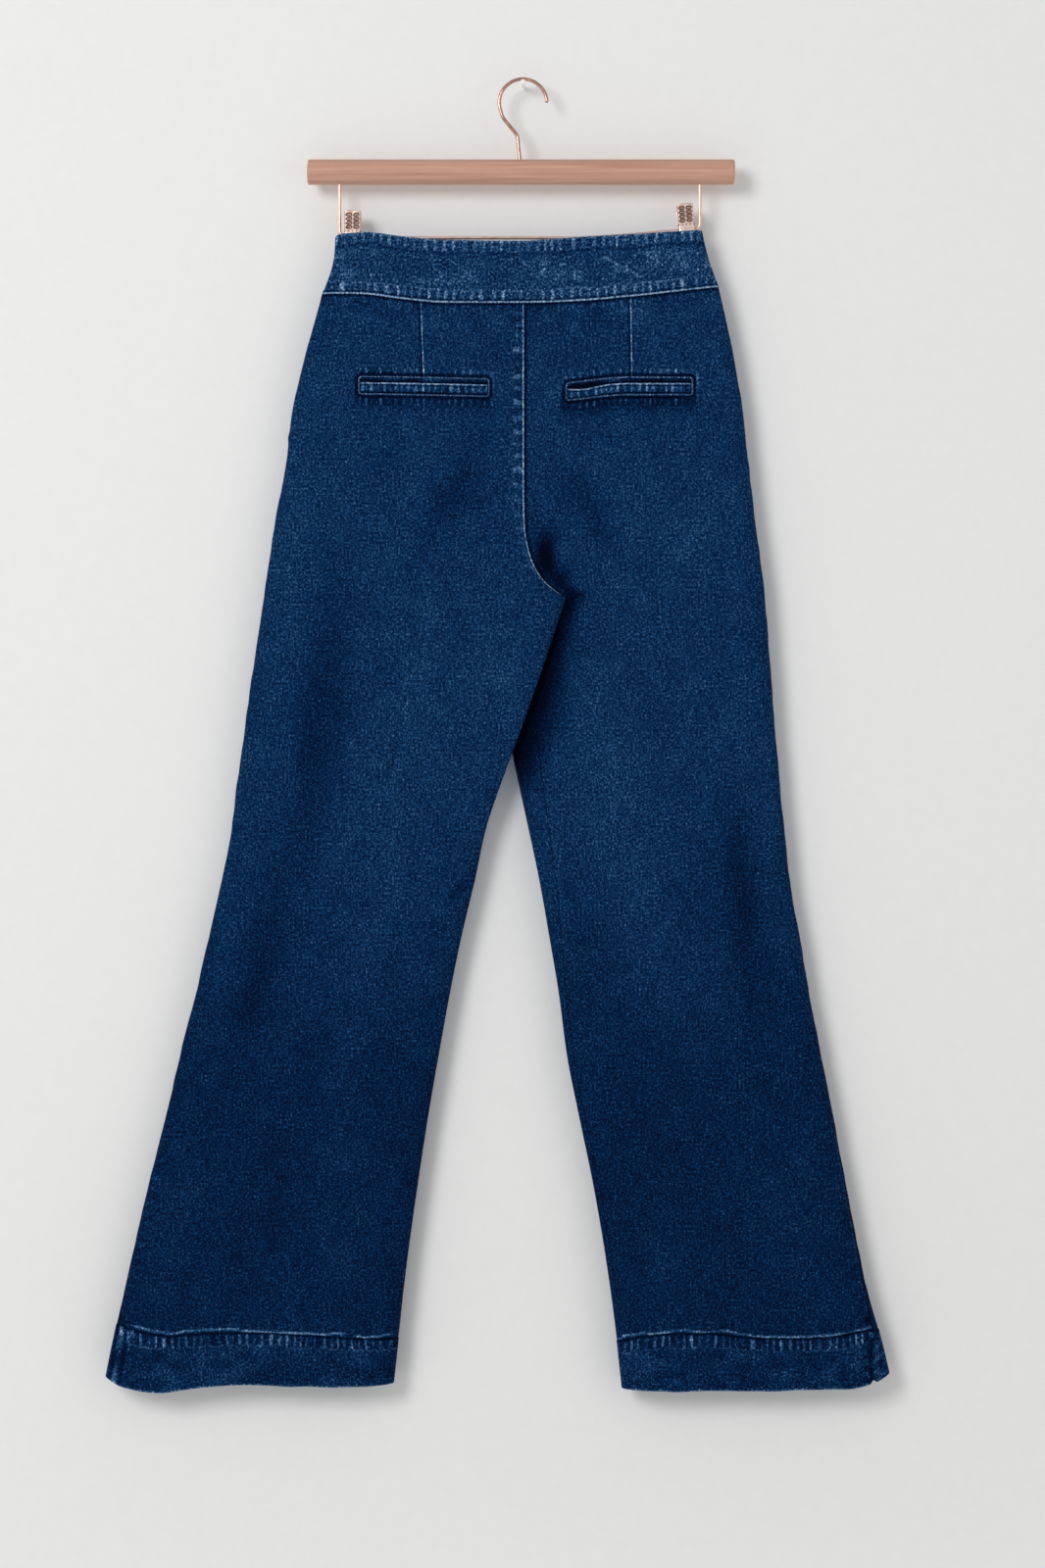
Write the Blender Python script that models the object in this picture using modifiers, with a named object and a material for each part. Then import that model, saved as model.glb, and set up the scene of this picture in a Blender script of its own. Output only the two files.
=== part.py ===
"""Wide-leg jeans hanging by the waistband from a clip hanger, with their back to the viewer.

The origin is the underside of the hook's crown, where the hanger bears on whatever holds it. X runs to the
viewer's right, Z up, and the back of the jeans faces -Y. All tables are in millimetres. Left and right are the
viewer's, so the wearer's left leg is the left one.
"""

import math

import bmesh
import bpy
import numpy as np

MM = 0.001

# Cloth
WALL = 1.2
BAND_WALL = 2.4
HEM_WALL = 2.2
SEAM_GAP = 0.3
BAND_PROUD = 0.8
HEM_PROUD = 0.5
LAY_GAP = 0.4

# Where the crotch seam turns: its level, and the axis that the centre seams are mirrored about
CROTCH = -484.4
SEAM_AXIS = 0.95
FORK = 40.2
CROTCH_REACH = 5.0
FOLD_ROUND = 28.0

# The seat: outer edges and centre-back seam at each level
SEAT_COLUMNS = ("level", "left_edge", "right_edge", "back_seam")
SEAT = (
    (-194.0, -186.5, 183.4, 1.6),
    (-206.0, -189.0, 186.2, 1.6),
    (-236.0, -197.6, 193.0, 1.6),
    (-270.0, -206.5, 199.5, 1.6),
    (-310.0, -215.4, 206.3, 1.6),
    (-346.0, -219.8, 210.2, 1.6),
    (-385.0, -226.5, 214.4, 1.7),
    (-414.0, -231.5, 218.2, 2.3),
    (-432.0, -234.5, 220.6, 4.4),
    (-449.0, -237.0, 222.9, 9.0),
    (-461.0, -239.0, 224.3, 15.0),
    (-472.0, -240.4, 225.5, 24.2),
    (-480.0, -241.5, 226.4, 34.8),
    (CROTCH, -242.0, 226.8, 41.2),
)

# The legs: outer edges and inner folds. The left leg hangs in front of the right one down to about -640
LEG_COLUMNS = ("level", "left_edge", "left_fold", "right_fold", "right_edge")
LEGS = (
    (CROTCH, -242.0, 41.2, -39.3, 226.8),
    (-525.0, -248.0, 27.0, -31.0, 230.0),
    (-565.0, -254.5, 13.6, -23.0, 233.2),
    (-610.0, -260.6, -2.4, -13.8, 237.0),
    (-655.0, -266.6, -19.0, -4.4, 240.7),
    (-700.0, -272.4, -34.0, 5.5, 245.0),
    (-750.0, -282.0, -44.8, 16.0, 250.3),
    (-800.0, -293.0, -56.8, 24.8, 259.0),
    (-855.0, -306.0, -68.0, 34.0, 268.6),
    (-912.0, -320.3, -78.3, 41.5, 279.3),
    (-970.0, -334.0, -88.3, 53.0, 291.0),
    (-1030.0, -349.2, -97.5, 65.5, 302.0),
    (-1090.0, -363.0, -106.0, 76.0, 313.5),
    (-1130.0, -372.0, -111.0, 82.0, 322.0),
    (-1172.0, -381.5, -115.6, 87.5, 334.0),
    (-1226.0, -392.5, -121.5, 93.5, 347.0),
)

# How far the two layers stand from the side seams' line, how much less near the sides (crown), and how wide
# the rounding at the edges is
DEPTH_COLUMNS = ("level", "side_y", "back", "front", "back_crown", "front_crown", "rounding")
DEPTHS = (
    (-144.0, -3.0, 9.0, 3.7, 0.50, 0.00, 10.0),
    (-165.0, -3.0, 9.6, 3.7, 0.50, 0.00, 11.0),
    (-210.0, -3.0, 10.5, 4.8, 0.45, 0.00, 14.0),
    (-250.0, -2.0, 12.5, 8.5, 0.30, 0.05, 20.0),
    (-310.0, -0.5, 14.5, 13.0, 0.18, 0.10, 28.0),
    (-385.0, 0.0, 15.5, 15.0, 0.08, 0.06, 32.0),
    (CROTCH, 0.0, 15.0, 15.0, 0.00, 0.00, 30.0),
    (-565.0, 0.0, 13.5, 13.5, 0.05, 0.05, 28.0),
    (-655.0, 0.0, 12.5, 12.5, 0.10, 0.10, 27.0),
    (-750.0, 0.0, 12.0, 12.0, 0.12, 0.12, 26.0),
    (-970.0, 0.0, 12.0, 12.5, 0.12, 0.12, 26.0),
    (-1090.0, 0.0, 13.5, 14.0, 0.10, 0.10, 26.0),
    (-1172.0, 0.0, 15.0, 16.0, 0.08, 0.08, 24.0),
    (-1226.0, 0.0, 16.5, 18.0, 0.08, 0.08, 22.0),
)

# How the layers pass each other round the crotch. "sunk" is how far the centre seams have sunk between the
# layers, "fold_y" how far towards its own side each leg's inner fold lies, "apart" half the space between the
# legs, "slant" the slope of the surface between them, and "inseam" how far round the fold the inseam lies
PASSING_COLUMNS = ("level", "sunk", "edge_roll", "fold_y", "apart", "slant", "inseam")
PASSING = (
    (-385.0, 0.0, 0.0, 5.25, 0.25, 0.125, 40.2),
    (-440.0, 0.35, 0.2, 5.25, 0.25, 0.125, 40.2),
    (CROTCH, 1.0, 1.0, 5.25, 0.25, 0.125, 40.2),
    (-545.0, 1.0, 1.0, 9.0, 2.0, 0.03, 34.0),
    (-600.0, 1.0, 1.0, 9.0, 3.0, 0.0, 28.0),
    (-655.0, 1.0, 1.0, 7.0, 3.0, 0.0, 23.0),
    (-700.0, 1.0, 1.0, 3.0, 3.0, 0.0, 19.0),
    (-760.0, 1.0, 1.0, 0.5, 3.0, 0.0, 15.0),
    (-880.0, 1.0, 1.0, 0.0, 3.0, 0.0, 6.0),
    (-1226.0, 1.0, 1.0, 0.0, 3.0, 0.0, 5.0),
)

# The waistband from end to end: its lower seam, the top edge above it, and the front half's top edge
BAND_COLUMNS = ("seam_x", "seam_z", "top_x", "top_z")
BAND = (
    (-188.1, -201.0, -175.5, -144.5),
    (-152.0, -201.5, -146.0, -142.8),
    (-115.0, -206.0, -110.0, -147.0),
    (-72.0, -210.0, -70.0, -150.3),
    (-2.0, -210.3, -3.0, -151.2),
    (52.0, -208.5, 48.0, -148.0),
    (107.0, -203.5, 98.0, -145.0),
    (146.0, -199.0, 134.0, -142.5),
    (184.2, -194.3, 168.0, -140.4),
)
FRONT_TOP_COLUMNS = ("x", "z")
FRONT_TOP = (
    (-177.0, -144.5),
    (-171.5, -147.8),
    (-167.0, -150.6),
    (-150.0, -150.7),
    (0.0, -150.0),
    (100.0, -147.0),
    (145.0, -144.7),
    (161.0, -144.6),
    (165.0, -143.2),
    (169.0, -140.4),
)
BAND_TOP_LEVEL = -150.0
BAND_LEVEL = -210.3
BAND_HOLLOW_REACH = 54.0
BAND_HOLLOW_LEFT = 4.0
BAND_HOLLOW_RIGHT = 1.7
BAND_FADE = -330.0

# The hems: across each leg from its outer edge (0) to its inner fold (1), the band's seam and lower edge
HEM_LEVEL = -1172.0
HEM_FADE = -1060.0
HEM_COLUMNS = ("across", "left_seam", "left_edge", "right_seam", "right_edge")
HEM = (
    (0.0, -1163.0, -1213.0, -1167.5, -1209.5),
    (0.08, -1168.5, -1221.5, -1169.5, -1218.5),
    (0.2, -1173.0, -1225.5, -1174.0, -1223.0),
    (0.35, -1170.0, -1221.0, -1175.7, -1223.0),
    (0.5, -1170.0, -1219.0, -1174.5, -1224.7),
    (0.65, -1172.0, -1220.0, -1170.5, -1223.5),
    (0.85, -1175.0, -1221.0, -1172.0, -1225.0),
    (1.0, -1176.0, -1219.0, -1179.0, -1224.0),
)

# The back pockets: the frame's ends, and the height of its upper edge at its outer end, middle and inner end
POCKETS = (
    # name, outer x, inner x, outer z, middle z, inner z
    ("left", -151.0, -33.0, -279.2, -280.2, -281.6),
    ("right", 157.0, 42.5, -280.0, -280.0, -285.2),
)
LIP_HEIGHT = 3.6
WELT_HEIGHT = 9.4
MOUTH_GAP = 0.8
LIP_RISE = 1.2
WELT_RISE = 1.7
POCKET_STEPS = 8

# The largest soft folds: a trough (negative rise) or ridge on one layer, its middle, its lean from the
# vertical in degrees, half its length and width, and its rise
FOLDS = (
    # layer, x, z, lean, half length, half width, rise
    ("back_right", 166.0, -580.0, 9.0, 80.0, 20.0, -2.2),
    ("back_right", 60.0, -520.0, -14.0, 75.0, 17.0, 1.8),
    ("back_left", -60.0, -830.0, -35.0, 48.0, 18.0, -2.4),
    ("back_left", -215.0, -1040.0, 12.0, 120.0, 24.0, -2.0),
    ("back_right", 175.0, -1010.0, -11.0, 130.0, 24.0, -1.8),
    ("front_left", -120.0, -560.0, 10.0, 120.0, 24.0, -2.2),
    ("front_right", 110.0, -600.0, -8.0, 130.0, 24.0, -2.2),
    ("front_left", -230.0, -960.0, 13.0, 130.0, 26.0, -2.2),
    ("front_right", 190.0, -980.0, -11.0, 130.0, 26.0, -2.0),
)

# Levels at which the panels have a section
SEAT_LEVELS = (-210.3, -232, -258, -285, -315, -346, -380, -410, -432, -449, -461, -472, -479.5, CROTCH)
LEG_LEVELS = (
    CROTCH, -494, -508, -528, -555, -590, -630, -670, -712, -760, -812, -870, -930, -990, -1045, -1090, -1130,
    HEM_LEVEL,
)
MAIN_COLUMNS = 12
SLOPE_STEP = 0.4
FORK_COLUMNS = 3
# How much the columns between an inner fold and the inseam crowd towards the fold
FORK_CROWDING = 1.6
BAND_ROWS = (0.0, 0.12, 0.4, 0.72, 1.0)
HEM_ROWS = (0.0, 0.3, 0.7, 1.0)

# Hanger
BAR_LENGTH = 400.0
BAR_RADIUS = 11.8
BAR_X = -1.4
BAR_Z = -85.5
BAR_EDGE = 2.4
BAR_SIDES = 32
WIRE_RADIUS = 1.5
HOOK_RADIUS = 1.7
HOOK_BEND = 22.3
HOOK_CENTRE = (0.5, -20.6)
HOOK_SHANK_X = -2.7
HOOK_NECK = ((-18.6, -33.6), (-14.2, -39.6), (-8.6, -46.4), (-5.2, -51.0), (-4.3, -55.5), (-3.6, -64.0))
SOCKET_DEPTH = 12.0
SOCKET_SLACK = 0.3
FRAME_CORNER = 7.3
FRAME_LEFT = -171.1
FRAME_RIGHT = 166.1
FRAME_COLUMNS = ("x", "z")
FRAME_SPAN = ((-163.8, -146.5), (-60.0, -147.2), (40.0, -147.2), (94.0, -144.6), (144.0, -140.6), (158.8, -140.0))

# Clips: the middle of each, the wire's height there and the lean of the whole clip in degrees
CLIPS = (
    # name, x, z, lean
    ("left", -158.8, -146.6, 0.0),
    ("right", 153.6, -140.2, 5.0),
)
CLIP_WIDTH = 15.6
CLIP_PLATE = 0.8
CLIP_JAW_WIDTH = 13.0
SPRING_RADIUS = 3.3
SPRING_LENGTH = 11.0
# A clip plate from lever tip to jaw: distance from the wire's plane and height above the wire
FRONT_PLATE = ((6.6, 24.5), (5.2, 12.0), (4.3, 4.0), (4.3, -2.0), (3.4, -5.2), (1.75, -6.6), (1.75, -12.0))
REAR_PLATE = ((6.6, 24.5), (5.2, 12.0), (4.3, 4.0), (4.3, -2.0), (3.6, -5.2), (2.15, -6.6), (2.15, -12.0))

DENIM = (0.030, 0.075, 0.185, 1.0)
DENIM_LIGHT = (0.040, 0.095, 0.220, 1.0)
DENIM_DARK = (0.022, 0.055, 0.140, 1.0)
BEECH = (0.62, 0.40, 0.27, 1.0)
ROSE_GOLD = (0.83, 0.50, 0.38, 1.0)

BACK, FRONT = -1, 1
LEFT, RIGHT = 1, -1


def smooth_curve(rows, columns, column, key=None):
    """A smooth curve through one column of a table, with no overshoot, as a function of the key column."""
    at = columns.index(key or columns[0])
    of = columns.index(column)
    ordered = sorted(rows, key=lambda row: row[at])
    x = np.array([row[at] for row in ordered], float)
    y = np.array([row[of] for row in ordered], float)
    step = np.diff(x)
    slope = np.diff(y) / step
    before, after = slope[:-1], slope[1:]
    same_way = before * after > 0
    middle = np.where(same_way, 2 * before * after / np.where(same_way, before + after, 1.0), 0.0)
    tangent = np.concatenate([slope[:1], middle, slope[-1:]])

    def value(place):
        place = min(max(place, x[0]), x[-1])
        i = min(int(np.searchsorted(x, place, side="right")) - 1, len(step) - 1)
        t = (place - x[i]) / step[i]
        rise = (2 * t + 1) * (1 - t) ** 2 * y[i] + t * t * (3 - 2 * t) * y[i + 1]
        return rise + step[i] * (t * (1 - t) ** 2 * tangent[i] - t * t * (1 - t) * tangent[i + 1])

    return value


def curves(rows, columns):
    return {name: smooth_curve(rows, columns, name) for name in columns[1:]}


seat = curves(SEAT, SEAT_COLUMNS)
legs = curves(LEGS, LEG_COLUMNS)
depths = curves(DEPTHS, DEPTH_COLUMNS)
passing = curves(PASSING, PASSING_COLUMNS)
band = curves(BAND, BAND_COLUMNS)
hem = curves(HEM, HEM_COLUMNS)
front_top = smooth_curve(FRONT_TOP, FRONT_TOP_COLUMNS, "z")


def unit(value):
    return min(max(value, 0.0), 1.0)


def eased(value):
    """0 to 1 with a level start and end."""
    value = unit(value)
    return value * value * (3 - 2 * value)


def rolled(value):
    """0 to 1 as a quarter circle, upright at the start."""
    return math.sqrt(1 - (1 - unit(value)) ** 2)


def mix(a, b, share):
    return a + (b - a) * share


def outer_edge(side, z):
    table = seat if z >= CROTCH else legs
    return table["left_edge" if side == LEFT else "right_edge"](z)


def inner_fold(side, z):
    return legs["left_fold" if side == LEFT else "right_fold"](z)


def centre_seam(face, z):
    """The centre-back seam, or the centre-front seam as its mirror image."""
    x = seat["back_seam"](z)
    return x if face == BACK else 2 * SEAM_AXIS - x


def near_face(side):
    """The layer whose panel wraps round the leg's inner fold: the back on the left leg, the front on the right."""
    return BACK if side == LEFT else FRONT


def crown(face, across, z):
    return 1 - depths["back_crown" if face == BACK else "front_crown"](z) * across * across


def fold_rise(side, face, x, z):
    """How far the soft folds lift the cloth at this place."""
    layer = ("back" if face == BACK else "front") + ("_left" if side == LEFT else "_right")
    rise = 0.0
    for name, fold_x, fold_z, lean, half_length, half_width, height in FOLDS:
        if name == layer:
            turn = math.radians(lean)
            dx, dz = x - fold_x, z - fold_z
            along = dz * math.cos(turn) + dx * math.sin(turn)
            across = dx * math.cos(turn) - dz * math.sin(turn)
            rise += height * math.exp(-((along / half_length) ** 2) - (across / half_width) ** 2)
    return rise


def cloth_y(side, face, x, z):
    """The outer surface of a layer: how far it lies from the hanger's plane at this place."""
    near = near_face(side)
    rounding = depths["rounding"](z)
    from_edge = (x - outer_edge(side, z)) * side
    depth = depths["back" if face == BACK else "front"](z)
    if z >= CROTCH:
        width = seat["right_edge"](z) - seat["left_edge"](z)
        across = 2 * (x - seat["left_edge"](z)) / width - 1
    else:
        across = 2 * from_edge / ((inner_fold(side, z) - outer_edge(side, z)) * side) - 1
    full = face * (depth * crown(face, across, z) + fold_rise(side, face, x, z)) * rolled(from_edge / rounding)
    if z >= CROTCH:
        to_seam = (centre_seam(face, z) - x) * side / FOLD_ROUND
        shape = eased(to_seam)
        if face == near:
            shape = mix(shape, rolled(to_seam), passing["edge_roll"](z))
        sunk_to = face * CROTCH_REACH + near * passing["apart"](CROTCH)
        y = full + passing["sunk"](z) * (sunk_to - full) * (1 - shape)
    else:
        left, right = inner_fold(LEFT, z), inner_fold(RIGHT, z)
        if face != near:
            middle = min(max(x, min(left, right)), max(left, right)) - SEAM_AXIS
            between = near * passing["apart"](z) - passing["slant"](z) * middle
            passes = (inner_fold(-side, z) - x) * side / FOLD_ROUND
            full = between + (full - between) * eased(passes)
        fold_y = near * passing["fold_y"](z)
        to_fold = (inner_fold(side, z) - x) * side / FOLD_ROUND
        y = fold_y + (full - fold_y) * rolled(to_fold)
    parted = face * SEAM_GAP / 2 * (1 - rolled(from_edge / rounding))
    return depths["side_y"](z) + y + parted


def across_leg(side, x, z):
    return unit((x - outer_edge(side, z)) / (inner_fold(side, z) - outer_edge(side, z)))


def seat_height(level, x):
    """The height of a seat section at x: the top ones follow the waistband's seam."""
    share = eased((level - BAND_FADE) / (BAND_LEVEL - BAND_FADE))
    return level + (band["seam_z"](x) - BAND_LEVEL) * share - SEAM_GAP / 2 * share


def leg_height(side, level, share):
    """The height of a leg section at a share of its width: the lowest ones follow the hem band's seam."""
    down = eased((HEM_FADE - level) / (HEM_FADE - HEM_LEVEL))
    seam = hem["left_seam" if side == LEFT else "right_seam"](share)
    return level + (seam - HEM_LEVEL + SEAM_GAP / 2) * down


def panel_place(side, face, level, column):
    """(x, layer) of a panel's column: 0 at the side seam, 1 at the centre seam or inner fold, 2 at the inseam."""
    near = near_face(side)
    start = outer_edge(side, level)
    if level >= CROTCH:
        start = outer_edge(side, seat_height(level, start))
    half_gap = SEAM_GAP / 2
    inseam = passing["inseam"](level)
    if column <= 1:
        if level >= CROTCH:
            end = centre_seam(face, level) - half_gap * side
        elif face == near:
            end = inner_fold(side, level)
        else:
            end = inner_fold(side, level) - side * (inseam + FORK)
        return mix(start, end, (1 - math.cos(math.pi * column)) / 2), face
    if face == near:
        reach = (inseam - half_gap) * (column - 1) ** FORK_CROWDING
        return inner_fold(side, level) - side * reach, -face
    return inner_fold(side, level) - side * (inseam + half_gap + FORK * (2 - column)), face


def inward_of(face, surface, x):
    """The direction into the garment, square to a layer's surface y = surface(x)."""
    slope = (surface(x + SLOPE_STEP) - surface(x - SLOPE_STEP)) / (2 * SLOPE_STEP)
    length = math.hypot(1.0, slope)
    return slope * face / length, -face / length


def panel_points(side, face, level, column):
    """The outer and inner point of a panel at a section and column."""
    x, layer = panel_place(side, face, level, column)
    if level >= CROTCH:
        z = seat_height(level, x)
    else:
        share = across_leg(side, x, level)
        z = leg_height(side, level, share)
        x = mix(outer_edge(side, z), inner_fold(side, z), share)
    y = cloth_y(side, layer, x, z)
    if column == 0:
        inward = (side, 0.0)
    elif column == 1 and level < CROTCH and face == near_face(side):
        inward = (-side, 0.0)
    elif column == 1 and level >= CROTCH:
        step = SLOPE_STEP * side
        inward = inward_of(layer, lambda place: cloth_y(side, layer, place, z), x - step)
    else:
        inward = inward_of(layer, lambda place: cloth_y(side, layer, place, z), x)
    return (x, y, z), (x + inward[0] * WALL, y + inward[1] * WALL, z)


def new_object(name, mesh, material, collection):
    item = bpy.data.objects.new(name, mesh)
    item.data.materials.append(material)
    collection.objects.link(item)
    return item


def wall_object(name, grid, material, collection):
    """A closed wall from a grid of (outer, inner) points, with None where the grid has no point."""
    mesh = bmesh.new()
    made = {}
    for row, line in enumerate(grid):
        for column, pair in enumerate(line):
            if pair:
                made[row, column] = [mesh.verts.new([MM * value for value in point]) for point in pair]
    edges = {}
    for row, column in made:
        corners = [(row, column), (row, column + 1), (row + 1, column + 1), (row + 1, column)]
        if all(corner in made for corner in corners):
            mesh.faces.new([made[corner][0] for corner in corners])
            mesh.faces.new([made[corner][1] for corner in reversed(corners)])
            for a, b in zip(corners, corners[1:] + corners[:1]):
                if edges.pop((b, a), None) is None:
                    edges[a, b] = True
    for a, b in edges:
        mesh.faces.new([made[b][0], made[a][0], made[a][1], made[b][1]])
    bmesh.ops.recalc_face_normals(mesh, faces=mesh.faces)
    data = bpy.data.meshes.new(name)
    mesh.to_mesh(data)
    mesh.free()
    data.shade_smooth()
    data.set_sharp_from_angle(angle=math.radians(40))
    return new_object(name, data, material, collection)


def panel(name, side, face, material, collection):
    """A leg panel from waistband to hem. Its fork round the crotch only exists below the crotch's level."""
    main, fork = main_columns(), fork_columns()
    grid = []
    for level in SEAT_LEVELS[:-1]:
        grid.append([panel_points(side, face, level, c) for c in main] + [None] * len(fork))
    for index, level in enumerate(LEG_LEVELS):
        below = level - 0.001 if index == 0 else level
        grid.append([panel_points(side, face, below, c) for c in main + fork])
    return wall_object(name, grid, material, collection)


def main_columns():
    return [i / MAIN_COLUMNS for i in range(MAIN_COLUMNS + 1)]


def fork_columns():
    return [1 + (i + 1) / FORK_COLUMNS for i in range(FORK_COLUMNS)]


def band_place(seam_x, down, face):
    """x and z of the waistband's outer surface above a place on its seam."""
    ends = BAND[0][0], BAND[-1][0]
    hollow = math.sin(math.pi * down)
    x = mix(band["top_x"](seam_x), seam_x, down)
    x += hollow * BAND_HOLLOW_LEFT * unit(1 - (seam_x - ends[0]) / BAND_HOLLOW_REACH) ** 2
    x -= hollow * BAND_HOLLOW_RIGHT * unit(1 - (ends[1] - seam_x) / BAND_HOLLOW_REACH) ** 2
    top = band["top_z"](seam_x) if face == BACK else front_top(band["top_x"](seam_x))
    return x, mix(top, band["seam_z"](seam_x) + SEAM_GAP / 2, down)


def band_points(face, seam_x, down):
    x, z = band_place(seam_x, down, face)
    left, _ = band_place(BAND[0][0], down, face)
    right, _ = band_place(BAND[-1][0], down, face)
    level = mix(BAND_TOP_LEVEL, BAND_LEVEL, down)
    rounding = depths["rounding"](level)
    depth = depths["back" if face == BACK else "front"](level) + BAND_PROUD

    def outer_y(place):
        roll = rolled((place - left) / rounding) * rolled((right - place) / rounding)
        across = 2 * (place - left) / (right - left) - 1
        return depths["side_y"](level) + face * (depth * crown(face, across, level) * roll + SEAM_GAP / 2 * (1 - roll))

    if seam_x in (BAND[0][0], BAND[-1][0]):
        inward = (1.0, 0.0) if seam_x == BAND[0][0] else (-1.0, 0.0)
    else:
        inward = inward_of(face, outer_y, x)
    y = outer_y(x)
    return (x, y, z), (x + inward[0] * BAND_WALL, y + inward[1] * BAND_WALL, z)


def waistband(name, face, material, collection):
    """Half the waistband, with its columns above the panels' own."""
    places = [panel_place(LEFT, face, BAND_LEVEL, column)[0] for column in main_columns()[1:]]
    places += [panel_place(RIGHT, face, BAND_LEVEL, column)[0] for column in main_columns()[-2:0:-1]]
    places = [BAND[0][0]] + places + [BAND[-1][0]]
    grid = [[band_points(face, place, down) for place in places] for down in BAND_ROWS]
    return wall_object(name, grid, material, collection)


def hem_shares(side, face):
    """The band's columns lie under the columns of the panels above, as shares of the leg's width."""
    places = [panel_place(side, face, HEM_LEVEL, column)[0] for column in main_columns()]
    if face != near_face(side):
        places += [panel_place(side, face, HEM_LEVEL, column)[0] for column in fork_columns()]
        places += [panel_place(side, -face, HEM_LEVEL, column)[0] for column in fork_columns()[-2::-1] + [1.0]]
    shares = [across_leg(side, place, HEM_LEVEL) for place in places]
    return [0.0] + shares[1:-1] + [1.0]


def hem_points(side, face, share, down):
    name = "left" if side == LEFT else "right"
    z = mix(hem[name + "_seam"](share) - SEAM_GAP / 2, hem[name + "_edge"](share), down)
    outer, fold = outer_edge(side, z), inner_fold(side, z)
    inside = mix(outer, fold, share)
    x = inside + HEM_PROUD * side * (2 * share - 1)
    if share in (0.0, 1.0):
        y = depths["side_y"](z) + face * SEAM_GAP / 2
        inward = (side if share == 0.0 else -side, 0.0)
    else:
        y = cloth_y(side, face, inside, z) + face * HEM_PROUD
        inward = inward_of(face, lambda place: cloth_y(side, face, place, z), inside)
    return (x, y, z), (x + inward[0] * HEM_WALL, y + inward[1] * HEM_WALL, z)


def hem_band(name, side, face, material, collection):
    grid = [[hem_points(side, face, share, down) for share in hem_shares(side, face)] for down in HEM_ROWS]
    return wall_object(name, grid, material, collection)


def pocket_strip(name, pocket, below, height, rise, material, collection):
    """A strip laid on the back panel under the pocket frame's upper edge."""
    label, outer_x, inner_x, outer_z, middle_z, inner_z = pocket
    side = LEFT if label == "left" else RIGHT
    upper = smooth_curve(((0.0, outer_z), (0.5, middle_z), (1.0, inner_z)), ("share", "z"), "z")
    grid = []
    for down in (0.0, 1.0):
        line = []
        for step in range(POCKET_STEPS + 1):
            share = step / POCKET_STEPS
            x = mix(outer_x, inner_x, share)
            z = upper(share) - below - height * down
            y = cloth_y(side, BACK, x, z) - LAY_GAP
            line.append(((x, y - rise, z), (x, y, z)))
        grid.append(line)
    return wall_object(name, grid, material, collection)


def principled(name, colour, roughness, metallic=0.0):
    material = bpy.data.materials.new(name)
    material.use_nodes = True
    shader = material.node_tree.nodes["Principled BSDF"]
    shader.inputs["Base Color"].default_value = colour
    shader.inputs["Roughness"].default_value = roughness
    shader.inputs["Metallic"].default_value = metallic
    material.diffuse_color = colour
    return material


def tube(name, points, radius, material, collection):
    """A round wire through points (x, y, z)."""
    curve = bpy.data.curves.new(name, "CURVE")
    curve.dimensions = "3D"
    curve.bevel_depth = radius * MM
    curve.bevel_resolution = 2
    curve.use_fill_caps = True
    line = curve.splines.new("POLY")
    line.points.add(len(points) - 1)
    for slot, point in zip(line.points, points):
        slot.co = [MM * value for value in point] + [1.0]
    return new_object(name, curve, material, collection)


def arc(centre, radius, start, end, steps):
    """Points of an arc in the hanger's plane, angles in degrees from +X."""
    angles = [math.radians(mix(start, end, i / steps)) for i in range(steps + 1)]
    return [(centre[0] + radius * math.cos(a), 0.0, centre[1] + radius * math.sin(a)) for a in angles]


def hook_path():
    """From the hook's tip over the crown, down the left side, through the neck's bend and into the bar."""
    bend = arc(HOOK_CENTRE, HOOK_BEND, 2, 196, 18)
    neck = [(x, 0.0, z) for x, z in HOOK_NECK]
    shank_end = BAR_Z + BAR_RADIUS - SOCKET_DEPTH + SOCKET_SLACK
    return bend + neck + [(HOOK_SHANK_X, 0.0, BAR_Z + BAR_RADIUS), (HOOK_SHANK_X, 0.0, shank_end)]


def frame_path():
    """The wire frame: down from the bar, along under it and up again."""
    top = BAR_Z - BAR_RADIUS + SOCKET_DEPTH - SOCKET_SLACK
    height = smooth_curve(FRAME_SPAN, FRAME_COLUMNS, "z")
    left_x, right_x = FRAME_SPAN[0][0], FRAME_SPAN[-1][0]
    left = arc((left_x, height(left_x) + FRAME_CORNER), FRAME_CORNER, 180, 270, 5)
    right = arc((right_x, height(right_x) + FRAME_CORNER), FRAME_CORNER, 270, 360, 5)
    span = [mix(left_x, right_x, i / 16) for i in range(1, 16)]
    return [(FRAME_LEFT, 0.0, top)] + left + [(x, 0.0, height(x)) for x in span] + right + [(FRAME_RIGHT, 0.0, top)]


def cylinder(name, radius, length, axis, place, sides, material, collection):
    mesh = bmesh.new()
    size = {"radius1": radius * MM, "radius2": radius * MM, "depth": length * MM}
    bmesh.ops.create_cone(mesh, cap_ends=True, segments=sides, **size)
    data = bpy.data.meshes.new(name)
    mesh.to_mesh(data)
    mesh.free()
    item = new_object(name, data, material, collection)
    item.location = [MM * value for value in place]
    if axis == "X":
        item.rotation_euler = (0.0, math.pi / 2, 0.0)
    return item


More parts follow.
